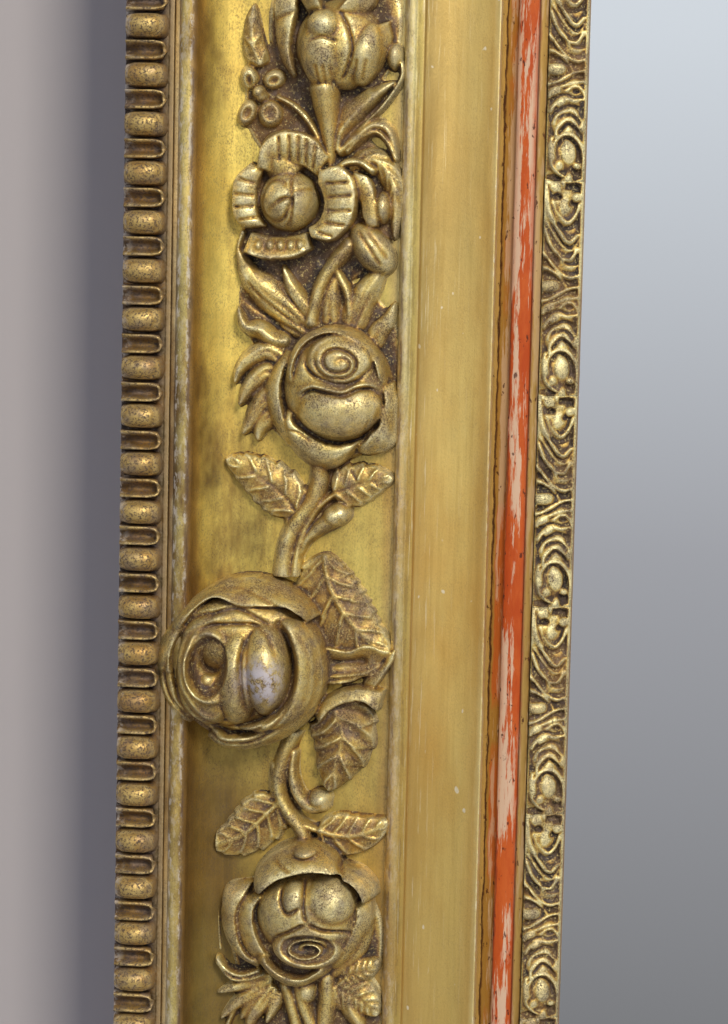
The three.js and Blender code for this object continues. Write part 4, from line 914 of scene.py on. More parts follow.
def lay_upper_rose(clay):
    """The rose that opens upwards, and the leaves that fan out behind it."""
    clay.lump((3.5, 88), (23.5, 27), 0.1, 1.3, blunt=0.2)
    clay.lump((-10, 108), (15, 17), 0.1, 1.1, blunt=0.2)
    clay.lump((5.5, 81), (18, 21), 0, 6, blunt=0.3)
    clay.leaf((-9, 96.3, -13.6, 96.9, -17.7, 99.6, -22.4, 101, -24.8, 106.5), 3.4, 3.0, 2, 6.2, rib=0.5)
    clay.leaf((-8.8, 88.7, -14.5, 93.1, -19.6, 91.5, -23.7, 87.8, -25.5, 83), 3.8, 3.6, 2, 6.2, rib=-0.9)
    clay.leaf((-8.8, 84.7, -14.4, 87.1, -18.5, 84.9, -21.5, 81.3, -24, 76.2), 4.2, 3.6, 2, 6.0, rib=-0.9)
    clay.leaf((-8.1, 78.7, -13.3, 80.5, -16.8, 77.4, -19.8, 72.2, -22.8, 67.5), 4.4, 4.0, 2, 5.6, teeth=4,
        rib=-0.9)
    clay.leaf((-7, 70.6, -10.1, 73.5, -14.2, 73.4, -17.2, 69.8, -18.1, 65.7), 4.0, 4.6, 2, 5.2, rib=-0.9)
    clay.band((-9.8, 93.8, -14.3, 87.6, -16.2, 80.5, -14.5, 73.5, -10.8, 67.5, -8.7, 64.5), (-7, 92.9, -9.9, 87.3,
        -10.8, 80.8, -9.6, 73.7, -7.5, 68.7, -5.4, 65.8), 4, 8.5, 0.8)
    clay.band((-9.2, 75.6, -9.9, 69.5, -7.7, 64, -3.5, 59.8, 1.1, 57.7, 6.2, 58.1, 10.7, 61.6, 13.2, 65.2), (-7.3,
        75.4, -6.3, 71.9, -2.1, 68.5, 3, 65.9, 7.1, 65.3, 10.1, 65.6, 12.1, 66, 14.1, 67), 3.5, 9.5, 2.8)
    clay.band((23.6, 84.7, 24.8, 78.7, 24.7, 71.6, 24.6, 66.6, 21.3, 63.7, 15.3, 62.5, 12.2, 63.9), (20.8, 83.8,
        21.4, 78.8, 20.5, 74.8, 19.6, 71.2, 17.6, 69.2, 16.1, 67.1, 14.6, 66), 3.5, 9.5, 1.6)
    clay.lump((6, 83.5), (16.2, 18.6), 2, 16.2)
    clay.band((-9, 82.9, -8.6, 89, -6.2, 95.6, -1.7, 99.4, 4.8, 101.2, 11.9, 99.8, 17.2, 95.7, 20.1, 90.5, 21.5,
        83.8), (-6.9, 83.2, -6.4, 89.2, -3.9, 94.8, 0.1, 98.1, 5.3, 99.5, 11.4, 98.2, 16, 94.8, 18.6, 90.4, 19.9,
        85), 8, 13.5, 0.6)
    clay.lump((7.8, 90.4), (10.6, 8.8), 8, 18.0, blunt=0.35)
    clay.crease((-2.2, 92.9, -2.1, 89.5, 0.5, 86.8, 3.5, 85.4, 7.5, 84.2, 11.5, 84.6, 15, 86.7, 17.7, 90, 17.1,
        93.9, 13.3, 97.1), 0.9, 1.9)
    clay.crease((1.8, 94.5, 0.6, 91.5, 2, 88.1, 5.5, 86.2, 10, 86.3, 12.7, 88.4, 13.1, 91.4, 10.8, 93.8, 7.3,
        94.7, 4.3, 93.6, 3.4, 91.1, 5, 88.4, 8, 87.8, 10.7, 88.6, 11.4, 90.6, 9.9, 92, 8.1, 91.5, 7.4, 89.7),
        0.75, 1.7)
    clay.crease((17.9, 90, 16.5, 94.9, 12.2, 98, 6.2, 98.5, 1.3, 96, -0.9, 92), 0.8, -0.8)
    clay.lump((8, 76.7), (13.0, 9.0), 7, 18.4, turn=4, blunt=0.42)
    clay.crease((-4, 78.9, -2.6, 80.9, 0.4, 82.3, 6, 81.2, 10, 81.1, 14, 82.7, 17.5, 83, 20.2, 81.4), 0.8, 2.0)
    clay.crease((-4, 79.9, -3.1, 81.9, 0.4, 83.4, 6, 82.4, 10, 82.2, 13.9, 83.9, 17.4, 84.1, 20.5, 82.1), 0.8,
        -1.6)
    clay.crease((-7.3, 76.6, -2.9, 70.7, 3.2, 67.1, 8.3, 66.2, 14.3, 67.9, 18.5, 72.6, 20.6, 78.9), 0.7, 1.8)
    clay.leaf((-2.6, 99, -8.8, 105.4, -15.5, 110.2, -21.8, 116.1, -25, 123.6), 5.2, 6.2, 2, 5.0, rib=-0.7)
    clay.leaf((-0.5, 100, -4.2, 106, -7.9, 111.9, -11.1, 118.9), 3.6, 3.6, 2, 5.4, rib=-0.7)
    clay.leaf((4, 100.6, 3.4, 107.2, 4.3, 113.2, 6.2, 118.3), 3.6, 3.4, 2, 4.6, rib=-0.7)
    clay.leaf((9.6, 99.3, 12, 106.4, 15.4, 113.5, 20.3, 121.1), 4.6, 4.2, 2, 4.8, rib=-0.7)
    clay.leaf((16.3, 94.4, 18.2, 99.5, 21.2, 103.6, 23.3, 108.7), 3.0, 3.0, 2, 4.2, rib=-0.6)
    for line in (
        (-3.5, 99.5, -10.7, 104.3, -17.9, 109.7, -22.6, 115.1),
        (-3.9, 98, -12.7, 102.3, -19.9, 106.6, -24.6, 110.5),
        (-1.4, 100.5, -6.7, 106.9, -11.9, 112.8, -15.5, 118.8),
        (10.8, 99.8, 13.6, 106.9, 17, 113, 20.9, 119.1),
    ):
        clay.crease(line, 0.6, 0.9)
    clay.crease((-8.4, 69.8, -4.0, 68.7, -0.2, 66.1), 0.28, 1.6)
    clay.crease((18.0, 74.9, 15.8, 70.4, 12.8, 65.3, 9.8, 60.2, 11.7, 56.5, 14.0, 52.6), 0.28, 1.6)


def lay_cluster(clay):
    """The small rose with its neighbours, a blossom and the closed bud at the end of a sprig."""
    clay.lump((0, 138), (23, 25), 0.1, 1.3, blunt=0.2)
    clay.lump((-7, 168), (17, 19), 0.1, 1.1, blunt=0.2)
    clay.lump((3, 192), (20, 24), 0.1, 1.2, blunt=0.2)
    clay.strand((9.1, 125.9, 5.7, 121.8, 2.9, 117.7, 0.6, 113, -1, 107.8, -2.1, 102.5), 2.6, 0, 6)
    clay.strand((4, 120, 6.4, 116, 8.9, 110.9, 9.6, 105.1), 1.7, 0, 4.6)
    clay.strand((-23.9, 129.2, -25.1, 124, -24, 118.2, -21.3, 113.1, -16.5, 108.5, -11.1, 104.6), 0.9, 0, 3.6)
    clay.leaf((-12.3, 104.6, -16.5, 110.3, -18.3, 113.7, -20.2, 117.1), 3.0, 3.0, 2, 4.4, teeth=3, rib=-0.6)
    clay.leaf((12.9, 107.5, 15.1, 112.2, 17.9, 116.9, 19, 120.4), 3.0, 3.4, 2, 4.4, rib=0.6)
    clay.leaf((-9.1, 145.6, -13, 150.2, -14.9, 155.3, -10.3, 159.9), 5.0, 8.0, 3, 7.5, rib=0, shape=0.45)
    clay.band((-19.4, 148.8, -17.8, 155.1, -12.9, 158.9, -7.1, 159.3, -1.8, 157.1, 2.4, 152.1), (-14.7, 147.1,
        -13.6, 150, -10.7, 150.6, -7.2, 150.1, -3.7, 148.5, -0.7, 146.3), 8.0, 6.0, 1.2)
    for line in (
        (-12.7, 158.6, -12.3, 150.1),
        (-9.5, 159.2, -9.3, 150.1),
        (-6.6, 159, -6.7, 149.9),
        (-4, 157.9, -4.4, 149.1),
        (-1.1, 156.5, -2.3, 147.7),
    ):
        clay.crease(line, 0.55, 1.0)
    clay.band((-21.6, 150, -26.2, 145.3, -27, 139.5, -26.3, 133.8, -23, 130.4), (-17.2, 148.3, -19.1, 144.2,
        -19.6, 139, -19, 134.5, -16.9, 131.1), 5.5, 5.5, 1.6)
    for line in (
        (-25.5, 145.3, -19, 143.7),
        (-26.6, 140.7, -19.5, 140.2),
        (-26.5, 136.6, -19.5, 137.1),
        (-25.3, 132.6, -18.5, 133.9),
    ):
        clay.crease(line, 0.5, 1.2)
    clay.lump((-9.7, 138.9), (9.2, 9.2), 0, 12.6)
    clay.crease((-8.6, 141.5, -11, 144.5, -15, 144.2, -17.3, 140.1, -17, 135.6, -13.9, 132.8, -10.5, 133.4, -8.5,
        136.9, -8.1, 139.2, -10.6, 139.1, -14, 136.8, -15.4, 135), 0.8, 1.8)
    clay.crease((-8.1, 147.4, -8.2, 143.7, -7.5, 138.1, -8.4, 132.9, -10.4, 130), 0.6, 1.4)
    clay.crease((-8, 141.5, -4.8, 142.1, -2, 142.4), 0.4, 0.8)
    clay.band((0, 148, 5.5, 149.3, 9.6, 146.5, 11.2, 141.4, 10.7, 135.1, 8.2, 130.5, 3.6, 127.2, -2.2, 127.9),
        (-0.8, 144.6, 0.1, 142.9, 1, 140.6, 1.4, 138.3, 1.1, 136, 0.3, 133.7, -1.1, 132, -3.4, 130.8), 9.5, 7.0,
        1.6)
    for line in (
        (1.7, 144, 9.2, 144.7),
        (2.3, 140, 10.4, 140.8),
        (2.1, 136, 10.5, 136.2),
        (1.3, 132.6, 8.9, 131.6),
        (-0.4, 129.7, 4.9, 128.1),
    ):
        clay.crease(line, 0.6, 1.1)
    clay.band((-21.2, 129, -14.8, 127.7, -8.3, 128.1, -3.7, 129.4), (-23.2, 123.2, -16.7, 121.2, -7.9, 121.8,
        -2.4, 124.5), 5, 8.6, 0.4)
    for at, reach in (
        ((-18.2, 125), (1.9, 2.3)),
        ((-14.7, 125.1), (1.9, 2.3)),
        ((-11.5, 125.1), (1.9, 2.3)),
        ((-8.3, 125.2), (1.9, 2.3)),
        ((-5.4, 125.3), (1.9, 2.3)),
    ):
        clay.lump(at, reach, 3, 8.6)
    clay.lump((15.9, 124.9), (5.6, 9.2), 0, 9.4, turn=38)
    clay.crease((11.8, 130.5, 15.4, 125.5, 19.6, 119.3), 0.6, 1.0)
    clay.crease((14.7, 130.6, 18.3, 126.1, 21.3, 121.6), 0.6, 1.0)
    clay.band((9.9, 147.7, 14.6, 146.1, 17, 139.8, 17.8, 131.8), (10.6, 142, 12.4, 138.6, 13.1, 134.6, 14.9,
        131.2), 6.5, 5.5, 0.8)
    clay.lump((19.1, 137.3), (2.7, 5.0), 0, 8.4)
    clay.leaf((8.6, 148.8, 13.2, 151.2, 17.8, 150.7, 22, 144.5, 22.8, 136.5, 22.7, 127.9), 3.6, 3.6, 2, 5,
        veins=8, rib=0.5)
    clay.strand((5.2, 148.7, 8.1, 150.5, 12.2, 150.6, 15.7, 148.4), 1.5, 0, 7.0)
    clay.strand((2.8, 148.7, 2.5, 154.5, 1.9, 162.4, 1.1, 168.1, 0.6, 172.7), 2.6, 0, 6.4, ends=(0.55, 1.9))
    clay.lump((-15.1, 175.3), (3.6, 2.9), 0, 5.2, turn=20, blunt=0.45)
    clay.lump((-22.7, 175.8), (2.8, 3.8), 0, 5.2, turn=10, blunt=0.45)
    clay.lump((-23.1, 165.2), (2.9, 4.4), 0, 5.2, turn=-25, blunt=0.45)
    clay.lump((-16.1, 165), (3.9, 4.3), 0, 5.2, turn=10, blunt=0.45)
    clay.lump((-18.8, 170.1), (2.2, 1.9), 0, 5.2, blunt=0.45)
    clay.hollow((-14.9, 174.8), (1.9, 1.3), 1.6, turn=20)
    clay.hollow((-15.9, 165), (2.1, 2.4), 1.6, turn=10)
    clay.hollow((-22.5, 174.6), (1.2, 2.0), 1.6, turn=10)
    clay.hollow((-22.9, 164.9), (1.4, 2.2), 1.6, turn=-25)
    clay.lump((-19.6, 171.3), (2.2, 2.2), 0, 6.6)
    clay.strand((-13.8, 169.9, -9.4, 167.7, -5.8, 164.6, -2.8, 160.7, -0.7, 156.7, 0.8, 153.3), 1.3, 0, 4.4,
        ends=(0.7, 1.1))
    clay.leaf((4.9, 154, 5.9, 159.7, 10.4, 165.5, 16.7, 171.3, 21.8, 174.8), 4.6, 2.6, 2, 5.2, teeth=4, rib=0.9,
        shape=0.55)
    clay.leaf((4.9, 153.4, 10.6, 158.1, 15.2, 161.6, 19.8, 160.5, 22.9, 152.6), 2.6, 2.2, 2, 4.8, rib=0.9)
    clay.strand((7.8, 154, 11.8, 158.1, 16.4, 159.9, 19.9, 157.1, 22.6, 152), 0.9, 0, 5)
    clay.strand((7.8, 155.2, 12.3, 161.5, 17.4, 166.7, 21.3, 171.9, 23.8, 176.5, 23.7, 180.4), 0.8, 0, 4.6)
    clay.leaf((-19, 179.3, -21.4, 184.9, -22.1, 191.8, -21.6, 197.4), 3.4, 3.4, 2, 4.4, veins=3, rib=0.5)
    clay.band((-15, 195, -14.6, 188.2, -12.7, 181.4, -9.1, 176.1), (-8.1, 196.2, -9.4, 189.9, -9.9, 183.7, -8.6,
        176.9), 4, 7.5, 0.8)
    clay.band((-13.7, 201.8, -15.3, 197.2, -14.7, 192.7), (-7.9, 201.8, -8.1, 198.4, -8.3, 195), 5, 7.5, 0.8)
    clay.lump((4.8, 185.7), (13.4, 13.6), 0, 12.8, blunt=0.45)
    clay.lump((0.5, 184.1), (7.4, 11.6), 4, 14.6)
    clay.lump((0.7, 190.6), (5.6, 5.4), 6, 15.6)
    clay.lump((12.8, 183.2), (5.2, 9.6), 4, 13.0, turn=-12)
    clay.crease((5.1, 195.7, 8.1, 190.2, 9.4, 184.1, 7.8, 177.9, 5.6, 173.9), 0.7, 1.8)
    clay.crease((-3.7, 186, 0.8, 187.2, 5.4, 185.9), 0.5, 1.2)
    for line in (
        (-1.4, 179.4, -0.4, 173.2),
        (0.9, 179.4, 1.6, 173.3),
        (3.2, 179.5, 3.6, 173.3),
        (11.1, 181.3, 9.6, 174.5),
        (14, 181.3, 12.4, 174.6),
    ):
        clay.crease(line, 0.5, 0.8)
    clay.band((15.8, 191.5, 17.1, 185.3, 15.6, 178.5, 11.6, 173.9), (19.4, 192.7, 20.5, 186.5, 17.7, 179.7, 13.8,
        174.6), 8, 3.5, 0.4)
    clay.lump((21.4, 182.6), (2.6, 4.2), 0, 6.2)
    clay.band((4.6, 195, 9.1, 200.7, 11.2, 206.9, 7.7, 211.3), (9.3, 192.3, 14.9, 197.4, 16.4, 204.7, 13.4,
        212.5), 11, 7, 0.8)
    clay.band((-4.6, 194.9, -7.6, 200.5, -7.1, 206.7, -2.6, 211.8), (0, 195, -1.3, 201.1, -0.8, 206.2, 2.6,
        210.7), 7, 12, 0.8)
    clay.leaf((1.4, 209, 1.3, 213.5, 3.5, 218, 6.8, 222.5), 4.6, 4.6, 2, 5.2, veins=4, rib=0.7)
    clay.leaf((-0.9, 209, -4.5, 213.5, -8.6, 216.8, -14.5, 220.1), 4.2, 4.2, 2, 5.0, veins=4, rib=0.7)


def as_piece(bm):
    mesh = bpy.data.meshes.new("clay")
    bm.to_mesh(mesh)
    bm.free()
    made = bpy.data.objects.new("clay", mesh)
    bpy.context.scene.collection.objects.link(made)
    return made


def applied(made):
    """The mesh of a working piece with its modifiers applied; the piece itself is thrown away."""
    evaluated = made.evaluated_get(bpy.context.evaluated_depsgraph_get())
    mesh = bpy.data.meshes.new_from_object(evaluated)
    bpy.data.objects.remove(made)
    return mesh


def block(clay):
    """The modelled pad, smoothed over, as a closed mesh in metres, its foot under the face below it."""
    for axis in (0, 1):
        padded = np.pad(clay.h, [(1, 1) if k == axis else (0, 0) for k in (0, 1)], mode="edge")
        before, after = (np.take(padded, range(k, k + clay.h.shape[axis]), axis) for k in (0, 2))
        clay.h = (before + 2 * clay.h + after) / 4
    rows, columns = clay.h.shape
    bm = bmesh.new()
    bmesh.ops.create_grid(bm, x_segments=columns - 1, y_segments=rows - 1, size=0.5)
    for v in bm.verts:
        row, column = round((v.co.y + 0.5) * (rows - 1)), round((v.co.x + 0.5) * (columns - 1))
        v.co = (clay.x[0, column] * MM, clay.y[row, 0] * MM, clay.h[row, column] * MM)
    rim = [e for e in bm.edges if e.is_boundary]
    skirt = bmesh.ops.extrude_edge_only(bm, edges=rim)["geom"]
    for v in {g for g in skirt if isinstance(g, bmesh.types.BMVert)}:
        v.co.z = -2.5 * MM
    return closed(bm)


def cast(clay, voxel):
    """The modelled pad with its steep places evened out, cut off just under the face. A thin rim of dirt and size
    clings to the face all round the forms, and its dark colour is partly painted contact shade."""
    rim = 0.24
    covered = clay.h > 0
    for _ in range(3):
        spread = covered.copy()
        for axis in (0, 1):
            spread |= np.roll(covered, 1, axis) | np.roll(covered, -1, axis)
        covered = spread
    clay.h = np.where(covered & (clay.h < rim), rim, clay.h)
    made = as_piece(block(clay))
    remesh = made.modifiers.new("even", "REMESH")
    remesh.mode, remesh.voxel_size = "VOXEL", voxel * MM
    smooth = made.modifiers.new("smooth", "SMOOTH")
    smooth.factor, smooth.iterations = 0.5, 1
    mesh = applied(made)
    bm = bmesh.new()
    bm.from_mesh(mesh)
    everything = [*bm.verts, *bm.edges, *bm.faces]
    under = (0, 0, -0.15 * MM)
    cut = bmesh.ops.bisect_plane(bm, geom=everything, plane_co=under, plane_no=(0, 0, 1), clear_inner=True)
    edges = [g for g in cut["geom_cut"] if isinstance(g, bmesh.types.BMEdge)]
    bmesh.ops.triangle_fill(bm, edges=edges, normal=(0, 0, -1))
    bmesh.ops.recalc_face_normals(bm, faces=bm.faces)
    bm.to_mesh(mesh)
    bm.free()
    return mesh


def thinned(mesh, triangles, foot=1.9):
    """A copy with about so many triangles, and in the attribute "recess" how far each point lies in a
    hollow, between the forms or, below 0.5, on a crest."""
    made = bpy.data.objects.new("clay", mesh.copy())
    bpy.context.scene.collection.objects.link(made)
    now = sum(len(p.vertices) - 2 for p in mesh.polygons)
    made.modifiers.new("thin", "DECIMATE").ratio = min(1, triangles / now)
    thin = applied(made)
    count = len(thin.vertices)
    co, normal = np.empty(count * 3), np.empty(count * 3)
    thin.vertices.foreach_get("co", co)
    thin.vertex_normals.foreach_get("vector", normal)
    co, normal = co.reshape(-1, 3) * 1000, normal.reshape(-1, 3)
    ends = np.empty(len(thin.edges) * 2, int)
    thin.edges.foreach_get("vertices", ends)
    a, b = ends.reshape(-1, 2).T
    degree = np.maximum(np.bincount(a, minlength=count) + np.bincount(b, minlength=count), 1)[:, None]

    def levelled(values, rounds):
        """The values evened out between neighbours."""
        for _ in range(rounds):
            total = [np.bincount(a, v[b], count) + np.bincount(b, v[a], count) for v in values.T]
            values = (values + np.stack(total, 1) / degree) / 2
        return values

    fine = ((levelled(co, 6) - co) * normal).sum(1)
    broad = ((levelled(co, 60) - co) * normal).sum(1)
    # Points near the face below, at the feet of the forms, count as deep: this darkens them as dirt and as
    # painted contact shade.
    low = 1.7 * np.clip(1 - co[:, 2] / 0.8, 0, 1) + 0.7 * np.clip(1 - co[:, 2] / foot, 0, 1)
    sunk = levelled(np.clip(fine / 0.2 + broad / 1.8 + low, -2, 2)[:, None], 1)[:, 0]
    # The gesso is brushed on, and leaves the forms a little uneven.
    brushed = [noise.fractal(p * 0.7, 1, 2, 3) + 0.6 * noise.fractal(p * 2.6, 1, 2, 2) for p in map(Vector, co)]
    co += normal * (0.09 * np.array(brushed) * np.clip(co[:, 2], 0, 1))[:, None]
    thin.vertices.foreach_set("co", (co / 1000).ravel())
    recess = thin.attributes.new("recess", "FLOAT", "POINT")
    recess.data.foreach_set("value", np.clip(0.5 + 0.25 * sunk, 0, 1))
    return thin


RUBBED_SWELL = (-0.4725, -0.0772, 0.8905)  # on the large rose of the left side


def ornament_finish(name, dullness, soot=0.62):
    """Gold patinated by how deep each point lies, with painted shade in the hollows and a painted highlight on
    the crests; the more soot, the darker the hollows.
    """
    material, tree, shader = finish(name)
    place = add(tree, "TexCoord").outputs["Object"]
    recess = add(tree, "Attribute", attribute_name="recess").outputs["Fac"]
    cloud = grain(tree, place, 420, 4, 0.65)
    patch = grain(tree, place, 60, 3, 0.6)
    patina_shade_and_highlight = sums(tree, "MULTIPLY_ADD", cloud, 0.26, recess)
    deeper = 0.02 + 0.2 * (soot - 0.62)
    # The crests pale to a painted highlight (0.34), and the hollows darken to near black with patina and painted
    # shade.
    gold = ramp(
        tree,
        patina_shade_and_highlight,
        (0.34, tone(240, 226, 168)),
        (0.49, tone(216, 192, 116)),
        (0.60, tone(196, 164, 86)),
        (0.71, tone(162, 126, 64)),
        (0.79 - 0.5 * deeper, tone(88, 60, 29)),
        (0.90 - deeper, tone(30, 19, 11)),
    )
    gold = blend(tree, ramp(tree, patch, (0.45, 0.0), (0.7, 0.5)), gold, tone(160, 116, 54))
    # Brown and violet-grey patina lies over the gold in patches, on the high places too.
    patina = ramp(tree, grain(tree, place, 75, 5, 0.7), (0.49 - 0.4 * (soot - 0.62), 0.0), (0.62, soot))
    gold = blend(tree, patina, gold, tone(122, 94, 62))
    dust = ramp(tree, grain(tree, place, 230, 4, 0.7), (0.5, 0.0), (0.66, 0.5))
    gold = blend(tree, dust, gold, tone(112, 98, 90))
    pits = grain(tree, place, 1900, 5, 0.75)
    crowd = ramp(tree, grain(tree, place, 150, 3, 0.6), (0.38, 0.4), (0.6, 1.0))
    specks = sums(tree, "MULTIPLY", ramp(tree, pits, (0.45, 0.0), (0.6, 0.95)), crowd)
    gold = blend(tree, specks, gold, tone(62, 42, 22))
    flecks = ramp(tree, grain(tree, place, 1200, 4, 0.7), (0.55, 0.0), (0.68, 0.55))
    gold = blend(tree, flecks, gold, tone(232, 208, 132))
    # One swell is rubbed through to the pale ground.
    off = add(tree, "VectorMath", {0: place, 1: RUBBED_SWELL}, operation="DISTANCE").outputs["Value"]
    near = ramp(tree, sums(tree, "MULTIPLY", off, 100), (0.35, 1.0), (1.1, 0.0))
    bare = ramp(tree, grain(tree, place, 260, 4, 0.7), (0.44, 0.0), (0.54, 0.85))
    rubbed = sums(tree, "MULTIPLY", near, bare)
    gold = blend(tree, rubbed, gold, tone(186, 178, 178))
    tree.links.new(gold, shader.inputs["Base Color"])
    dull = ramp(tree, patina_shade_and_highlight, (0.6, 0.0), (0.85, 0.8))
    for cover in (dust, specks, patina, rubbed):
        dull = sums(tree, "MAXIMUM", dull, cover)
    tree.links.new(ramp(tree, dull, (0.0, 0.78), (0.8, 0.08)), shader.inputs["Metallic"])
    tree.links.new(ramp(tree, dull, (0.0, dullness), (0.8, 0.75)), shader.inputs["Roughness"])
    relief(tree, shader, sums(tree, "ADD", pits, cloud), 0.12, 0.6)
    return material


def on_side(side, along, scale=1, across=GARLAND_LINE, seat=FRIEZE_TOP, fall=0):
    """Carries a modelled pad, in metres, to its place on a side, `along` from the middle of the side, on
    a face that falls away so steeply towards the glass."""
    middle = SIDES[side][1] / 2
    corners = np.array([(0, 0, 0), (1, 0, 0), (0, 1, 0), (0, 0, 1)], float)
    x, y, h = corners.T
    placed = upright(side, middle - (along + y * scale), across + x, seat + h - fall * x)
    axes = (placed[1:] - placed[0]) / MM
    return Matrix.Translation(placed[0]) @ Matrix([list(row) for row in axes.T]).to_4x4()


def gathered(parts):
    """One mesh of many, each put in its place."""
    bm = bmesh.new()
    for mesh, matrix in parts:
        copy = mesh.copy()
        copy.transform(matrix)
        bm.from_mesh(copy)
    return bm


gilded_ornament = ornament_finish("ornament_gilding", 0.36)
sooty_ornament = ornament_finish("sooty_ornament_gilding", 0.38, 0.78)

boss_clay = Clay(-47, 27, -45, 33, 0.25)
lay_boss(boss_clay)
boss_clay.h = np.minimum(boss_clay.h, 31.1)  # no part of the frame stands further off the wall
boss = thinned(cast(boss_clay, 0.34), 70000)

upper_clay = Clay(-29, 26, 24, 228, 0.25)
lay_upper_stems(upper_clay)
lay_upper_rose(upper_clay)
lay_cluster(upper_clay)
upper_cast = cast(upper_clay, 0.34)

lower_clay = Clay(-29, 26, -228, -24, 0.25)
lay_lower_stems(lower_clay)
lay_lower_rose(lower_clay)
lower_clay.way = -1
lay_cluster(lower_clay)
lower_cast = cast(lower_clay, 0.34)

SPRIG, BOSS_REACH, CORNER_REACH = 200, 26, 35  # along the side
HALVES = {
    "bottom": ("left", "right"),
    "right": ("lower", "upper"),
    "top": ("right", "left"),
    "left": ("upper", "lower"),
}
sprigs = {1: (upper_cast, thinned(upper_cast, 22000)), -1: (lower_cast, thinned(lower_cast, 22000))}
for side, (_, length) in SIDES.items():
    room = length / 2 - GARLAND_LINE - BOSS_REACH - CORNER_REACH
    count = round(room / SPRIG)
    ease = room / count / SPRIG
    for half, way in zip(HALVES[side], (1, -1)):
        parts = []
        for i in range(count):
            near = side == "left" and i == 0  # the sprigs that are looked at most closely
            mesh = thinned(sprigs[way][0], 110000) if near else sprigs[way][1]
            shift = way * (BOSS_REACH + i * room / count) - way * BOSS_REACH * ease
            parts.append((mesh, on_side(side, shift, ease)))
        bm = gathered(parts)
        piece(f"{side}_garland_{half}", bm, [gilded_ornament], nodes=[f"garland_{side}_{half}"])
    bm = gathered([(boss, on_side(side, 0))])
    piece(f"{side}_rose_boss", bm, [sooty_ornament], nodes=[f"rose_boss_{side}"])

# In each corner the upper rose stands, a little larger, on a ring of leaves.
corner_clay = Clay(-36, 36, -36, 36)
for x, y in ((33, 6), (6, 33), (22, 22), (-21, -21), (-20, 12), (12, -20)):
    n = math.hypot(x, y)
    midrib = (8 * x / n, 8 * y / n, 0.55 * x - 0.08 * y, 0.55 * y + 0.08 * x, x, y)
    corner_clay.leaf(midrib, 7, 7, 2.6, 5.4, veins=6, teeth=6, rib=0.8, shape=0.6)
corner_clay.centre, corner_clay.scale = np.array([5.2, 82.5]), 1.16
lay_upper_rose(corner_clay)
corner = thinned(cast(corner_clay, 0.5), 26000)
for side, (kind, length) in SIDES.items():
    before = {"bottom": "left", "right": "bottom", "top": "right", "left": "top"}[side]
    name = "corner_rose_" + (f"{side}_{before}" if kind == "rail" else f"{before}_{side}")
    bm = gathered([(corner, on_side(side, length / 2 - GARLAND_LINE))])
    piece(f"{name}_pressed", bm, [gilded_ornament], nodes=[name])

# ---- The ornament along the sight edge ----
# Leaves, husks and buds of pressed composition, laid down the slope of the slip in equal repeats that
# are cut through at the mitres, and gilded.
REPEAT = 65.2
SIGHT_FIRST = 81.4  # from the middle of the side to where a repeat starts
SIGHT_LINE, SIGHT_SEAT = 126.3, 41.3 - 0.125  # where the strip starts across the side, and off the wall
SLOPE = 5 / 12  # how the slip falls away towards the glass
GROUND = 0.6  # the thickness of the strip between its forms


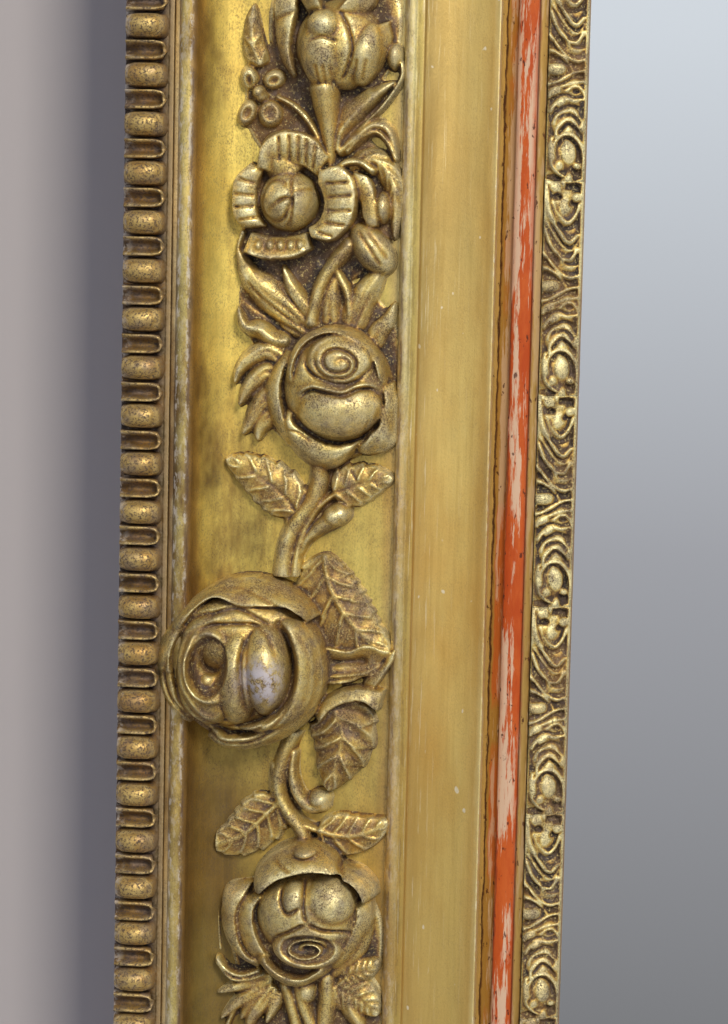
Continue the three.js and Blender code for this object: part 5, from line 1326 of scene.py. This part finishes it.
def lay_sight(clay):
    """One repeat of the strip, from its head down to its foot."""
    clay.lump((4.3, 57.8), (4.8, 8.5), 0.6, 2.1)
    clay.lump((5.8, 48.5), (4.5, 6.6), 0.6, 1.7)
    clay.lump((7.0, 38.8), (3.9, 4.2), 0.6, 1.6)
    clay.lump((6.5, 25.4), (4.8, 7.9), 0.6, 1.8)
    clay.lump((5.9, 16.8), (4.5, 4.2), 0.6, 1.8)
    clay.lump((5.5, 8.3), (4.8, 7.2), 0.6, 2.0)
    clay.strand((0.2, 64.7, 0.6, 61.4, 1.3, 57.4, 2.6, 53.8, 4.5, 50.2, 6.4, 47.6, 8.3, 47.0, 10.1, 48.9), 1.1,
        0.9, 2.9, ends=(1.1, 0.7))
    clay.strand((2.5, 59.0, 4.1, 55.7, 6.6, 53.0, 8.4, 53.4, 9.8, 55.8, 10.4, 58.2), 0.62, 1.2, 2.7, ends=(0.8,
        0.8))
    clay.lump((6.1, 57.5), (2.1, 3.3), 1.0, 2.7, turn=-15)
    clay.lump((3.2, 63.2), (2.1, 1.8), 1.0, 2.9)
    clay.lump((6.2, 65.1), (1.7, 2.4), 1.0, 2.8)
    clay.lump((1.1, 64.7), (1.5, 1.8), 0.9, 2.6)
    clay.lump((9.7, 60.3), (1.6, 1.7), 0.8, 2.9)
    clay.lump((9.0, 64.2), (1.8, 1.5), 0.6, 2.2)
    clay.hollow((3.9, 60.5), (1.5, 1.1), 2.4)
    clay.hollow((7.9, 58.5), (0.9, 1.2), 1.2, turn=-30)
    clay.crease((3.5, 52.9, 5.7, 51.2, 8.1, 51.5, 9.9, 53.4), 0.8, 1.3)
    clay.crease((8.1, 62.4, 9.6, 62.4, 11.5, 61.6), 0.6, 1.2)
    clay.strand((0.6, 50.5, 2.2, 46.3, 4.5, 43.3, 6.0, 41.8, 8.4, 41.8, 10.2, 44.6), 0.75, 0.7, 2.5, ends=(0.8,
        1.0))
    clay.strand((0.8, 52.6, 3.1, 49.0, 5.3, 46.3, 7.1, 44.5, 9.0, 44.6, 10.4, 47.3), 0.5, 0.7, 2.2, ends=(0.7,
        0.8))
    clay.crease((0.9, 51.4, 3.1, 47.8, 5.6, 44.5), 0.45, 0.8)
    clay.crease((2.0, 53.2, 4.0, 49.6, 6.2, 46.3, 8.3, 45.5, 10.1, 47.3), 0.5, 1.3)
    clay.strand((0.2, 43.5, 2.4, 40.8, 4.6, 38.1, 6.8, 36.6, 8.9, 36.1, 10.7, 36.7), 0.62, 0.6, 2.5, ends=(0.9,
        0.8))
    clay.strand((0.6, 39.2, 2.8, 38.1, 4.6, 36.9, 6.2, 35.1, 7.2, 33.0), 0.6, 0.6, 2.6, ends=(1.1, 0.8))
    clay.strand((5.7, 41.2, 7.3, 39.7, 9.1, 39.4, 10.6, 39.8), 0.45, 0.8, 2.3, ends=(0.9, 0.8))
    clay.hollow((0.6, 40.5), (1.2, 1.8), 1.6, turn=-35)
    clay.hollow((1.0, 36.5), (1.8, 1.1), 1.7, turn=-20)
    clay.hollow((3.3, 41.4), (2.1, 0.8), 1.3, turn=-45)
    clay.crease((6.4, 40.6, 8.2, 40.3, 10.6, 40.7), 0.55, 1.3)
    clay.crease((5.8, 38.1, 8.3, 37.6, 10.4, 37.9), 0.45, 0.9)
    clay.crease((5.3, 36.0, 7.1, 34.8, 9.3, 34.3, 11.1, 33.4), 0.7, 1.4)
    clay.lump((2.6, 33.5), (2.9, 1.9), 0.8, 3.0)
    clay.hollow((1.2, 30.4), (2.1, 1.0), 1.7, turn=12)
    clay.crease((5.9, 35.1, 6.9, 33.0, 5.7, 31.5), 0.5, 1.0)
    clay.strand((0.3, 28.9, 2.7, 29.6, 5.4, 31.1, 8.1, 32.7, 11.1, 33.4), 0.7, 0.8, 2.4, ends=(0.9, 0.8))
    clay.strand((0.7, 25.2, 1.6, 27.4, 4.0, 28.4, 7.3, 29.4, 10.9, 30.1), 0.8, 0.8, 2.5, ends=(0.8, 0.9))
    clay.crease((2.2, 28.6, 4.9, 29.6, 7.9, 31.5, 11.2, 31.6), 0.55, 1.2)
    clay.lump((2.5, 26.8), (2.0, 1.7), 1.0, 2.9, turn=25)
    clay.strand((5.6, 26.9, 7.0, 28.1, 8.9, 28.5, 10.4, 27.3, 11.1, 25.8), 0.5, 1.0, 2.5)
    clay.hollow((8.3, 27.0), (1.2, 0.8), 1.3)
    clay.crease((1.4, 24.0, 3.2, 25.6, 5.6, 26.0, 8.0, 25.4, 10.8, 26.1), 0.5, 1.1)
    clay.strand((1.2, 21.0, 2.3, 22.8, 4.1, 24.1, 6.2, 24.5, 8.4, 24.2, 11.1, 24.9), 0.75, 0.8, 2.5, ends=(0.9,
        0.8))
    clay.lump((4.1, 23.5), (1.8, 1.4), 1.0, 2.8, turn=25)
    clay.crease((0.9, 18.5, 2.7, 20.4, 4.8, 22.0, 7.2, 22.7, 9.4, 21.8, 10.9, 20.9), 0.6, 1.4)
    clay.strand((2.2, 17.3, 3.0, 19.5, 4.8, 20.8, 7.3, 21.1, 9.1, 19.7, 10.7, 17.6), 0.7, 1.0, 2.3, ends=(0.7,
        0.9))
    clay.lump((10.5, 16.6), (1.1, 1.8), 0.8, 2.6)
    clay.strand((2.9, 13.1, 3.2, 15.5, 4.6, 17.4, 6.4, 18.4, 8.3, 17.5, 10.2, 14.8), 0.72, 1.0, 2.7, ends=(1.0,
        0.7))
    clay.crease((3.5, 14.0, 5.0, 15.9, 6.5, 17.1, 8.3, 16.0, 10.5, 14.2), 0.6, 1.5)
    clay.strand((2.2, 6.9, 2.4, 10.6, 3.8, 13.1, 6.3, 14.1, 8.7, 13.2, 10.6, 10.5, 11.4, 6.9, 11.2, 3.8), 0.85,
        1.0, 2.7, ends=(0.9, 0.9))
    clay.strand((1.7, 13.0, 1.2, 9.1, 2.0, 4.8, 3.6, 2.7, 5.4, 1.5), 0.75, 0.8, 2.5, ends=(0.7, 0.9))
    clay.lump((6.7, 8.3), (2.6, 3.8), 1.0, 2.9, turn=8)
    clay.crease((3.9, 10.0, 5.1, 12.5, 6.9, 12.6, 8.8, 10.8, 9.5, 7.8, 9.0, 5.0), 0.55, 1.5)
    clay.lump((4.1, 4.8), (1.4, 1.8), 1.2, 2.8)
    clay.lump((9.3, 4.7), (1.3, 1.2), 1.0, 2.8)
    clay.crease((7.8, 4.0, 9.7, 2.5, 11.8, 2.0), 0.55, 1.2)
    clay.lump((7.0, 0.9), (1.4, 1.8), 1.0, 2.7)
    clay.lump((10.4, 0.1), (1.5, 1.2), 0.8, 2.2)
    clay.hollow((2.4, 1.1), (2.7, 0.8), 1.7, turn=-8)
    clay.crease((6.1, -1.5, 8.3, -1.5, 11.6, -1.7), 0.55, 1.2)


def cut_through(bm, place, way):
    """Cuts off all that lies behind a plane that faces the way given, and closes the cut."""
    everything = [*bm.verts, *bm.edges, *bm.faces]
    bmesh.ops.bisect_plane(bm, geom=everything, plane_co=place, plane_no=way, clear_inner=True)
    bmesh.ops.holes_fill(bm, edges=[e for e in bm.edges if e.is_boundary])


def mitred(bm, side):
    """Cuts a strip off along the mitres at both of its ends."""
    length = SIDES[side][1]
    for end, way in ((MITRE_EASE, 1), (length - MITRE_EASE, -1)):
        foot, ahead = upright(side, np.array([end, end + way]), np.array([0, -1]), np.zeros(2))
        cut_through(bm, foot, ahead - foot)
    return bm


# One repeat is modelled with room at both ends, where the next ones' forms run into it.
OVERLAP = 9
forms, sight_clay = (Clay(0, 11.8, -OVERLAP, REPEAT + OVERLAP) for _ in range(2))
forms.h[:] = sight_clay.h[:] = GROUND
lay_sight(forms)
for shift in (-1, 0, 1):
    rows = round(shift * REPEAT / forms.cell)
    low, high = max(0, rows), min(forms.h.shape[0], forms.h.shape[0] + rows)
    part = forms.h[low - rows : high - rows]
    sight_clay.h[low:high] = np.where(np.abs(part - GROUND) > 0.01, part, sight_clay.h[low:high])
sight_clay.strand((11.1, -OVERLAP, 11.1, REPEAT / 2, 11.1, REPEAT + OVERLAP), 0.75, GROUND, 2.0)
highest = 43.4 - (41.3 - SLOPE * sight_clay.x)  # nothing stands much above the slip's listel
sight_clay.h = np.clip(sight_clay.h, 0.15, np.minimum(highest, 3.1))
bm = block(sight_clay)
cut_through(bm, (0, 0, 0), (0, 1, 0))
cut_through(bm, (0, REPEAT * MM, 0), (0, -1, 0))
for v in bm.verts:
    v.co.z = max(v.co.z, 0)
whole = bpy.data.meshes.new("sight_repeat")
bm.to_mesh(whole)
bm.free()
sight_repeat = thinned(whole, 3600, 1.5)
gilded_sight = ornament_finish("sight_gilding", 0.58)
for side, (_, length) in SIDES.items():
    parts = []
    along = SIGHT_FIRST - REPEAT * math.ceil((length / 2 + SIGHT_FIRST) / REPEAT)
    while along < length / 2:
        parts.append((sight_repeat, on_side(side, along, 1, SIGHT_LINE, SIGHT_SEAT, SLOPE)))
        along += REPEAT
    bm = mitred(gathered(parts), side)
    piece(f"{side}_sight_leaves", bm, [gilded_sight], nodes=[f"{side}_sight_ornament"])

# ---- The looking glass ----
# One plate of silvered glass, held from behind against the slip.


def glass_finish():
    material, tree, shader = finish("silvered_glass", Metallic=1.0, Base_Color=tone(246, 248, 249))
    place = add(tree, "TexCoord").outputs["Object"]
    film = grain(tree, place, 14, 4, 0.6)
    tree.links.new(ramp(tree, film, (0.3, 0.012), (0.8, 0.04)), shader.inputs["Roughness"])
    return material


def dress(node, material):
    """Gives a CAD node its finish."""
    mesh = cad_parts[node].data
    mesh.materials.clear()
    mesh.materials.append(material)


dress("mirror_glass", glass_finish())

# ---- The back: spacers, boards and mitre keys ----
# Pine strips keep the three tongued boards off the glass's silvering. Butterfly keys of oak are let
# into the back across the mitres and glued.
CREASE = math.radians(32)  # faces that meet more sharply keep their edge


def board_finish():
    material, tree, shader = finish("aged_board", Roughness=0.82)
    place = add(tree, "TexCoord").outputs["Object"]
    rings = grain(tree, place, 34, 4, 0.55, (0.05, 1, 1))
    fibres = grain(tree, place, 700, 3, 0.6, (0.02, 1, 1))
    grime = grain(tree, place, 6, 5, 0.6)
    colour = ramp(tree, rings, (0.32, tone(146, 104, 62)), (0.5, tone(176, 132, 84)), (0.6, tone(138, 94, 54)))
    colour = blend(tree, ramp(tree, fibres, (0.4, 0.0), (0.7, 0.5)), colour, tone(104, 74, 47))
    colour = blend(tree, ramp(tree, grime, (0.42, 0.0), (0.72, 0.65)), colour, tone(96, 76, 56))
    tree.links.new(colour, shader.inputs["Base Color"])
    relief(tree, shader, fibres, 0.25, 0.7)
    return material


def oak_finish():
    material, tree, shader = finish("oak_key", Roughness=0.7)
    place = add(tree, "TexCoord").outputs["Object"]
    pores = grain(tree, place, 800, 3, 0.6, (0.06, 1, 0.06))
    figure = grain(tree, place, 120, 4, 0.6, (0.3, 1, 0.3))
    colour = ramp(tree, figure, (0.35, tone(126, 88, 50)), (0.6, tone(156, 116, 70)))
    colour = blend(tree, ramp(tree, pores, (0.5, 0.0), (0.65, 0.7)), colour, tone(70, 48, 28))
    tree.links.new(colour, shader.inputs["Base Color"])
    relief(tree, shader, pores, 0.2, 0.6)
    return material


def eased(node, edge, material, body="frame", steps=2):
    """A CAD solid with its edges rubbed round, in place of the plain one."""
    bm = bmesh.new()
    bm.from_mesh(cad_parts[node].data)
    bmesh.ops.remove_doubles(bm, verts=bm.verts, dist=1e-6)
    bmesh.ops.dissolve_limit(bm, angle_limit=0.01, verts=bm.verts, edges=bm.edges)
    sharp = [e for e in bm.edges if e.is_manifold and e.calc_face_angle() > 0.8]
    rounding = {"affect": "EDGES", "segments": steps, "profile": 0.5, "material": -1, "clamp_overlap": True}
    bmesh.ops.bevel(bm, geom=sharp, offset=edge * MM, **rounding)
    made = piece(f"eased_{node}", bm, [material], body, [node])
    made.data.set_sharp_from_angle(angle=CREASE)


aged_board = board_finish()
oak_key = oak_finish()
for k in (1, 2, 3):
    eased(f"backboard_{k}", 0.6, aged_board)
for side, (kind, _) in SIDES.items():
    eased(f"glass_spacer_{side}", 0.3, bare_pine[kind])
for corner_name in ("bottom_left", "bottom_right", "top_right", "top_left"):
    eased(f"mitre_key_{corner_name}", 0.3, oak_key)

# ---- The hangers ----
# Iron straps with a rolled eye, screwed to the recessed back of the stiles, each with a D-shaped ring
# of bent wire that swings in the eye. The iron is blackened and rusty in places.
HANGER_OUT, HANGER_DROP = 443.75, 300  # from the frame's middle, and from its top to the eye
STRAP_SCREWS = {"upper": 39, "lower": 59}  # below the eye


def iron_finish():
    material, tree, shader = finish("old_iron", Metallic=0.75)
    place = add(tree, "TexCoord").outputs["Object"]
    cloud = grain(tree, place, 260, 4, 0.65)
    rust = ramp(tree, grain(tree, place, 130, 5, 0.7), (0.5, 0.0), (0.62, 0.8))
    colour = ramp(tree, cloud, (0.3, tone(62, 60, 60)), (0.7, tone(104, 101, 100)))
    colour = blend(tree, rust, colour, tone(112, 62, 34))
    tree.links.new(colour, shader.inputs["Base Color"])
    tree.links.new(ramp(tree, rust, (0.0, 0.42), (0.8, 0.85)), shader.inputs["Roughness"])
    relief(tree, shader, sums(tree, "ADD", cloud, rust), 0.12, 0.6)
    return material


def screw(name, node, x, z, seat, turn):
    """A wood screw whose slotted, slightly domed head faces the wall, with its shank in the wood."""
    radius, height, slot_depth, shank = 3.6, 1.8, 0.9, 1.7
    bm = bmesh.new()
    bmesh.ops.create_grid(bm, x_segments=16, y_segments=16, size=1)
    rim = [e for e in bm.edges if e.is_boundary]
    for v in bm.verts:
        a, b = v.co.x, v.co.y
        reach = max(abs(a), abs(b))
        fade = reach / max(math.hypot(a, b), 1e-9)
        dome = height * (0.72 + 0.28 * (1 - reach**2)) - (slot_depth if abs(b) < 0.15 else 0)
        v.co = (a * fade * radius, b * fade * radius, dome)
    for level, size in ((0, radius), (0, shank), (-13, shank), (-14.8, 0.2)):
        grown = bmesh.ops.extrude_edge_only(bm, edges=rim)["geom"]
        rim = [g for g in grown if isinstance(g, bmesh.types.BMEdge) and g.is_boundary]
        for v in {v for e in rim for v in e.verts}:
            v.co = (*(v.co.xy.normalized() * size), level)
    closed(bm)
    moved = Matrix.Translation((x * MM, -seat * MM, z * MM)) @ Matrix.Rotation(-math.pi / 2, 4, "X")
    bm.transform(moved @ Matrix.Rotation(turn, 4, "Z") @ Matrix.Scale(MM, 4))
    made = piece(name, bm, [old_iron], nodes=[node])
    made.data.set_sharp_from_angle(angle=CREASE)


old_iron = iron_finish()
for side, way in (("left", -1), ("right", 1)):
    eased(f"hanger_strap_{side}", 0.35, old_iron)
    bm = bmesh.new()
    bm.from_mesh(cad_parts[f"hanger_ring_{side}"].data)
    bmesh.ops.remove_doubles(bm, verts=bm.verts, dist=1e-6)
    ring = piece(f"wire_ring_{side}", bm, [old_iron], f"hanger_ring_{side}", [f"hanger_ring_{side}"])
    round_off = ring.modifiers.new("round", "SUBSURF")
    round_off.levels = round_off.render_levels = 2
    for n, (which, drop) in enumerate(STRAP_SCREWS.items()):
        node, z = f"hanger_screw_{side}_{which}", FRAME_HEIGHT - HANGER_DROP - FOOT - drop
        screw(f"slotted_screw_{side}_{which}", node, way * HANGER_OUT, z, BACK_FACE - 2.3, 0.7 + n + way)

# ---- The turn buttons ----
# Cast brass tabs, each turning on a wood screw at the rebate's edge, that hold the boards in.
BUTTON_OUT = 423  # from the frame's middle
BUTTON_HEIGHTS = {"lower": 527.5, "upper": 1263.5}


def brass_finish():
    material, tree, shader = finish("dull_brass", Metallic=0.9)
    place = add(tree, "TexCoord").outputs["Object"]
    cloud = grain(tree, place, 180, 4, 0.6)
    tarnish = ramp(tree, grain(tree, place, 90, 5, 0.65), (0.48, 0.0), (0.64, 0.7))
    colour = ramp(tree, cloud, (0.3, tone(168, 132, 66)), (0.7, tone(196, 160, 88)))
    colour = blend(tree, tarnish, colour, tone(92, 72, 42))
    tree.links.new(colour, shader.inputs["Base Color"])
    tree.links.new(ramp(tree, tarnish, (0.0, 0.32), (0.7, 0.6)), shader.inputs["Roughness"])
    relief(tree, shader, cloud, 0.08, 0.5)
    return material


dull_brass = brass_finish()
for side, way in (("left", -1), ("right", 1)):
    for n, (which, z) in enumerate(BUTTON_HEIGHTS.items()):
        button, node = f"turn_button_{side}_{which}", f"button_screw_{side}_{which}"
        eased(button, 0.5, dull_brass, button, 3)
        screw(f"slotted_{node}", node, way * BUTTON_OUT, z, BACK_FACE - 3.3, n - way)

# ---- The room ----
# A pale wall behind the frame, a pale floor, soft lamps, and the camera at the photograph's place.
CAMERA = Vector((-0.3602, -0.8052, 1.0202))
YAW, PITCH, ROLL = (math.radians(a) for a in (-6.46, -6.01, 1.30))


def plain_finish(name, colour, seen_from_behind):
    """Plain paint, faintly clouded; where it isn't seen from behind, the frame's back shows through it."""
    material, tree, shader = finish(name, Roughness=0.9)
    place = add(tree, "TexCoord").outputs["Object"]
    clouded = ramp(tree, grain(tree, place, 1.5, 3), (0.3, 0.0), (0.7, 0.12))
    tree.links.new(blend(tree, clouded, colour, tone(150, 148, 148)), shader.inputs["Base Color"])
    if not seen_from_behind:
        clear = add(tree, "BsdfTransparent").outputs[0]
        back = add(tree, "NewGeometry").outputs["Backfacing"]
        mix = add(tree, "MixShader", {0: back, 1: shader.outputs[0], 2: clear})
        tree.links.new(mix.outputs[0], tree.nodes["Material Output"].inputs["Surface"])
    return material


def stage_sheet(name, corners, material):
    bm = bmesh.new()
    bm.faces.new([bm.verts.new(c) for c in corners])
    mesh = bpy.data.meshes.new(name)
    bm.to_mesh(mesh)
    bm.free()
    mesh.materials.append(material)
    sheet = bpy.data.objects.new(name, mesh)
    bpy.context.scene.collection.objects.link(sheet)
    sheet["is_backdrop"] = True


wall_y, floor_z, reach = 0.003, -0.5, 3
wall_paint = plain_finish("wall_paint", tone(168, 160, 155), False)
# The wall is left open behind the frame, so that its back is lit too.
left, right, low, high = -0.505, 0.505, -0.01, 1.8
for k, (x0, x1, z0, z1) in enumerate(
    [
        (-reach, left, floor_z, reach),
        (right, reach, floor_z, reach),
        (left, right, floor_z, low),
        (left, right, high, reach),
    ]
):
    corners = [(x0, wall_y, z0), (x1, wall_y, z0), (x1, wall_y, z1), (x0, wall_y, z1)]
    stage_sheet(f"wall_{k}", corners, wall_paint)
floor_corners = [(x * reach, y * reach, floor_z) for x, y in ((-1, -1), (1, -1), (1, 1), (-1, 1))]
stage_sheet("floor", floor_corners, plain_finish("floor_paint", tone(222, 220, 216), True))

world = bpy.data.worlds.new("room_light")
bpy.context.scene.world = world
world.use_nodes = True
tree = world.node_tree
direction = add(tree, "TexCoord").outputs["Generated"]
height = add(tree, "SeparateXYZ", {"Vector": direction}).outputs["Z"]
share = add(tree, "MapRange", {"Value": height, "From Min": -1.0, "From Max": 1.0}).outputs[0]
sky = ramp(
    tree,
    share,
    (0.0, tone(96, 92, 90)),
    (0.345, tone(126, 126, 128)),
    (0.44, tone(165, 165, 170)),
    (0.545, tone(216, 221, 227)),
    (0.75, tone(240, 242, 246)),
)
# Matt surfaces get a dimmer, bluer share of the light than what glass and gold reflect.
matt = add(tree, "LightPath").outputs["Is Diffuse Ray"]
sky = blend(tree, matt, sky, blend(tree, 1.0, sky, tone(158, 170, 202), "MULTIPLY"))
background = tree.nodes["Background"]
tree.links.new(sky, background.inputs["Color"])
background.inputs["Strength"].default_value = 1.0


def lamp(name, place, aim, size, power, colour):
    """A square soft lamp, which the looking glass doesn't mirror."""
    data = bpy.data.lights.new(name, "AREA")
    data.shape = "SQUARE"
    data.size = size
    data.energy = power
    data.color = colour
    made = bpy.data.objects.new(name, data)
    made.location = place
    made.rotation_euler = (Vector(aim) - Vector(place)).to_track_quat("-Z", "Y").to_euler()
    bpy.context.scene.collection.objects.link(made)
    spared = bpy.data.collections.new(name + "_spares")
    spared.objects.link(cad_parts["mirror_glass"])
    spared.collection_objects[0].light_linking.link_state = "EXCLUDE"
    made.light_linking.receiver_collection = spared


lamp("key_lamp", (0.68, -2.25, 2.6), (-0.3, 0, 1.0), 0.7, 82, (1.0, 0.95, 0.87))
lamp("fill_lamp", (-1.2, -2.6, 1.4), (0, 0, 0.9), 1.4, 8, (0.9, 0.95, 1.0))

ahead = Vector((math.sin(YAW) * math.cos(PITCH), math.cos(YAW) * math.cos(PITCH), math.sin(PITCH)))
level = Vector((math.cos(YAW), -math.sin(YAW), 0))
above = level.cross(ahead)
right = math.cos(ROLL) * level + math.sin(ROLL) * above
up = -math.sin(ROLL) * level + math.cos(ROLL) * above
camera_data = bpy.data.cameras.new("camera")
camera_data.sensor_width = 36
camera_data.lens = 87.68
camera = bpy.data.objects.new("camera", camera_data)
camera.matrix_world = Matrix(((*right, 0), (*up, 0), (*-ahead, 0), (*CAMERA, 1))).transposed()
bpy.context.scene.collection.objects.link(camera)
bpy.context.scene.camera = camera
bpy.context.scene.view_settings.view_transform = "Standard"

low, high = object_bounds()
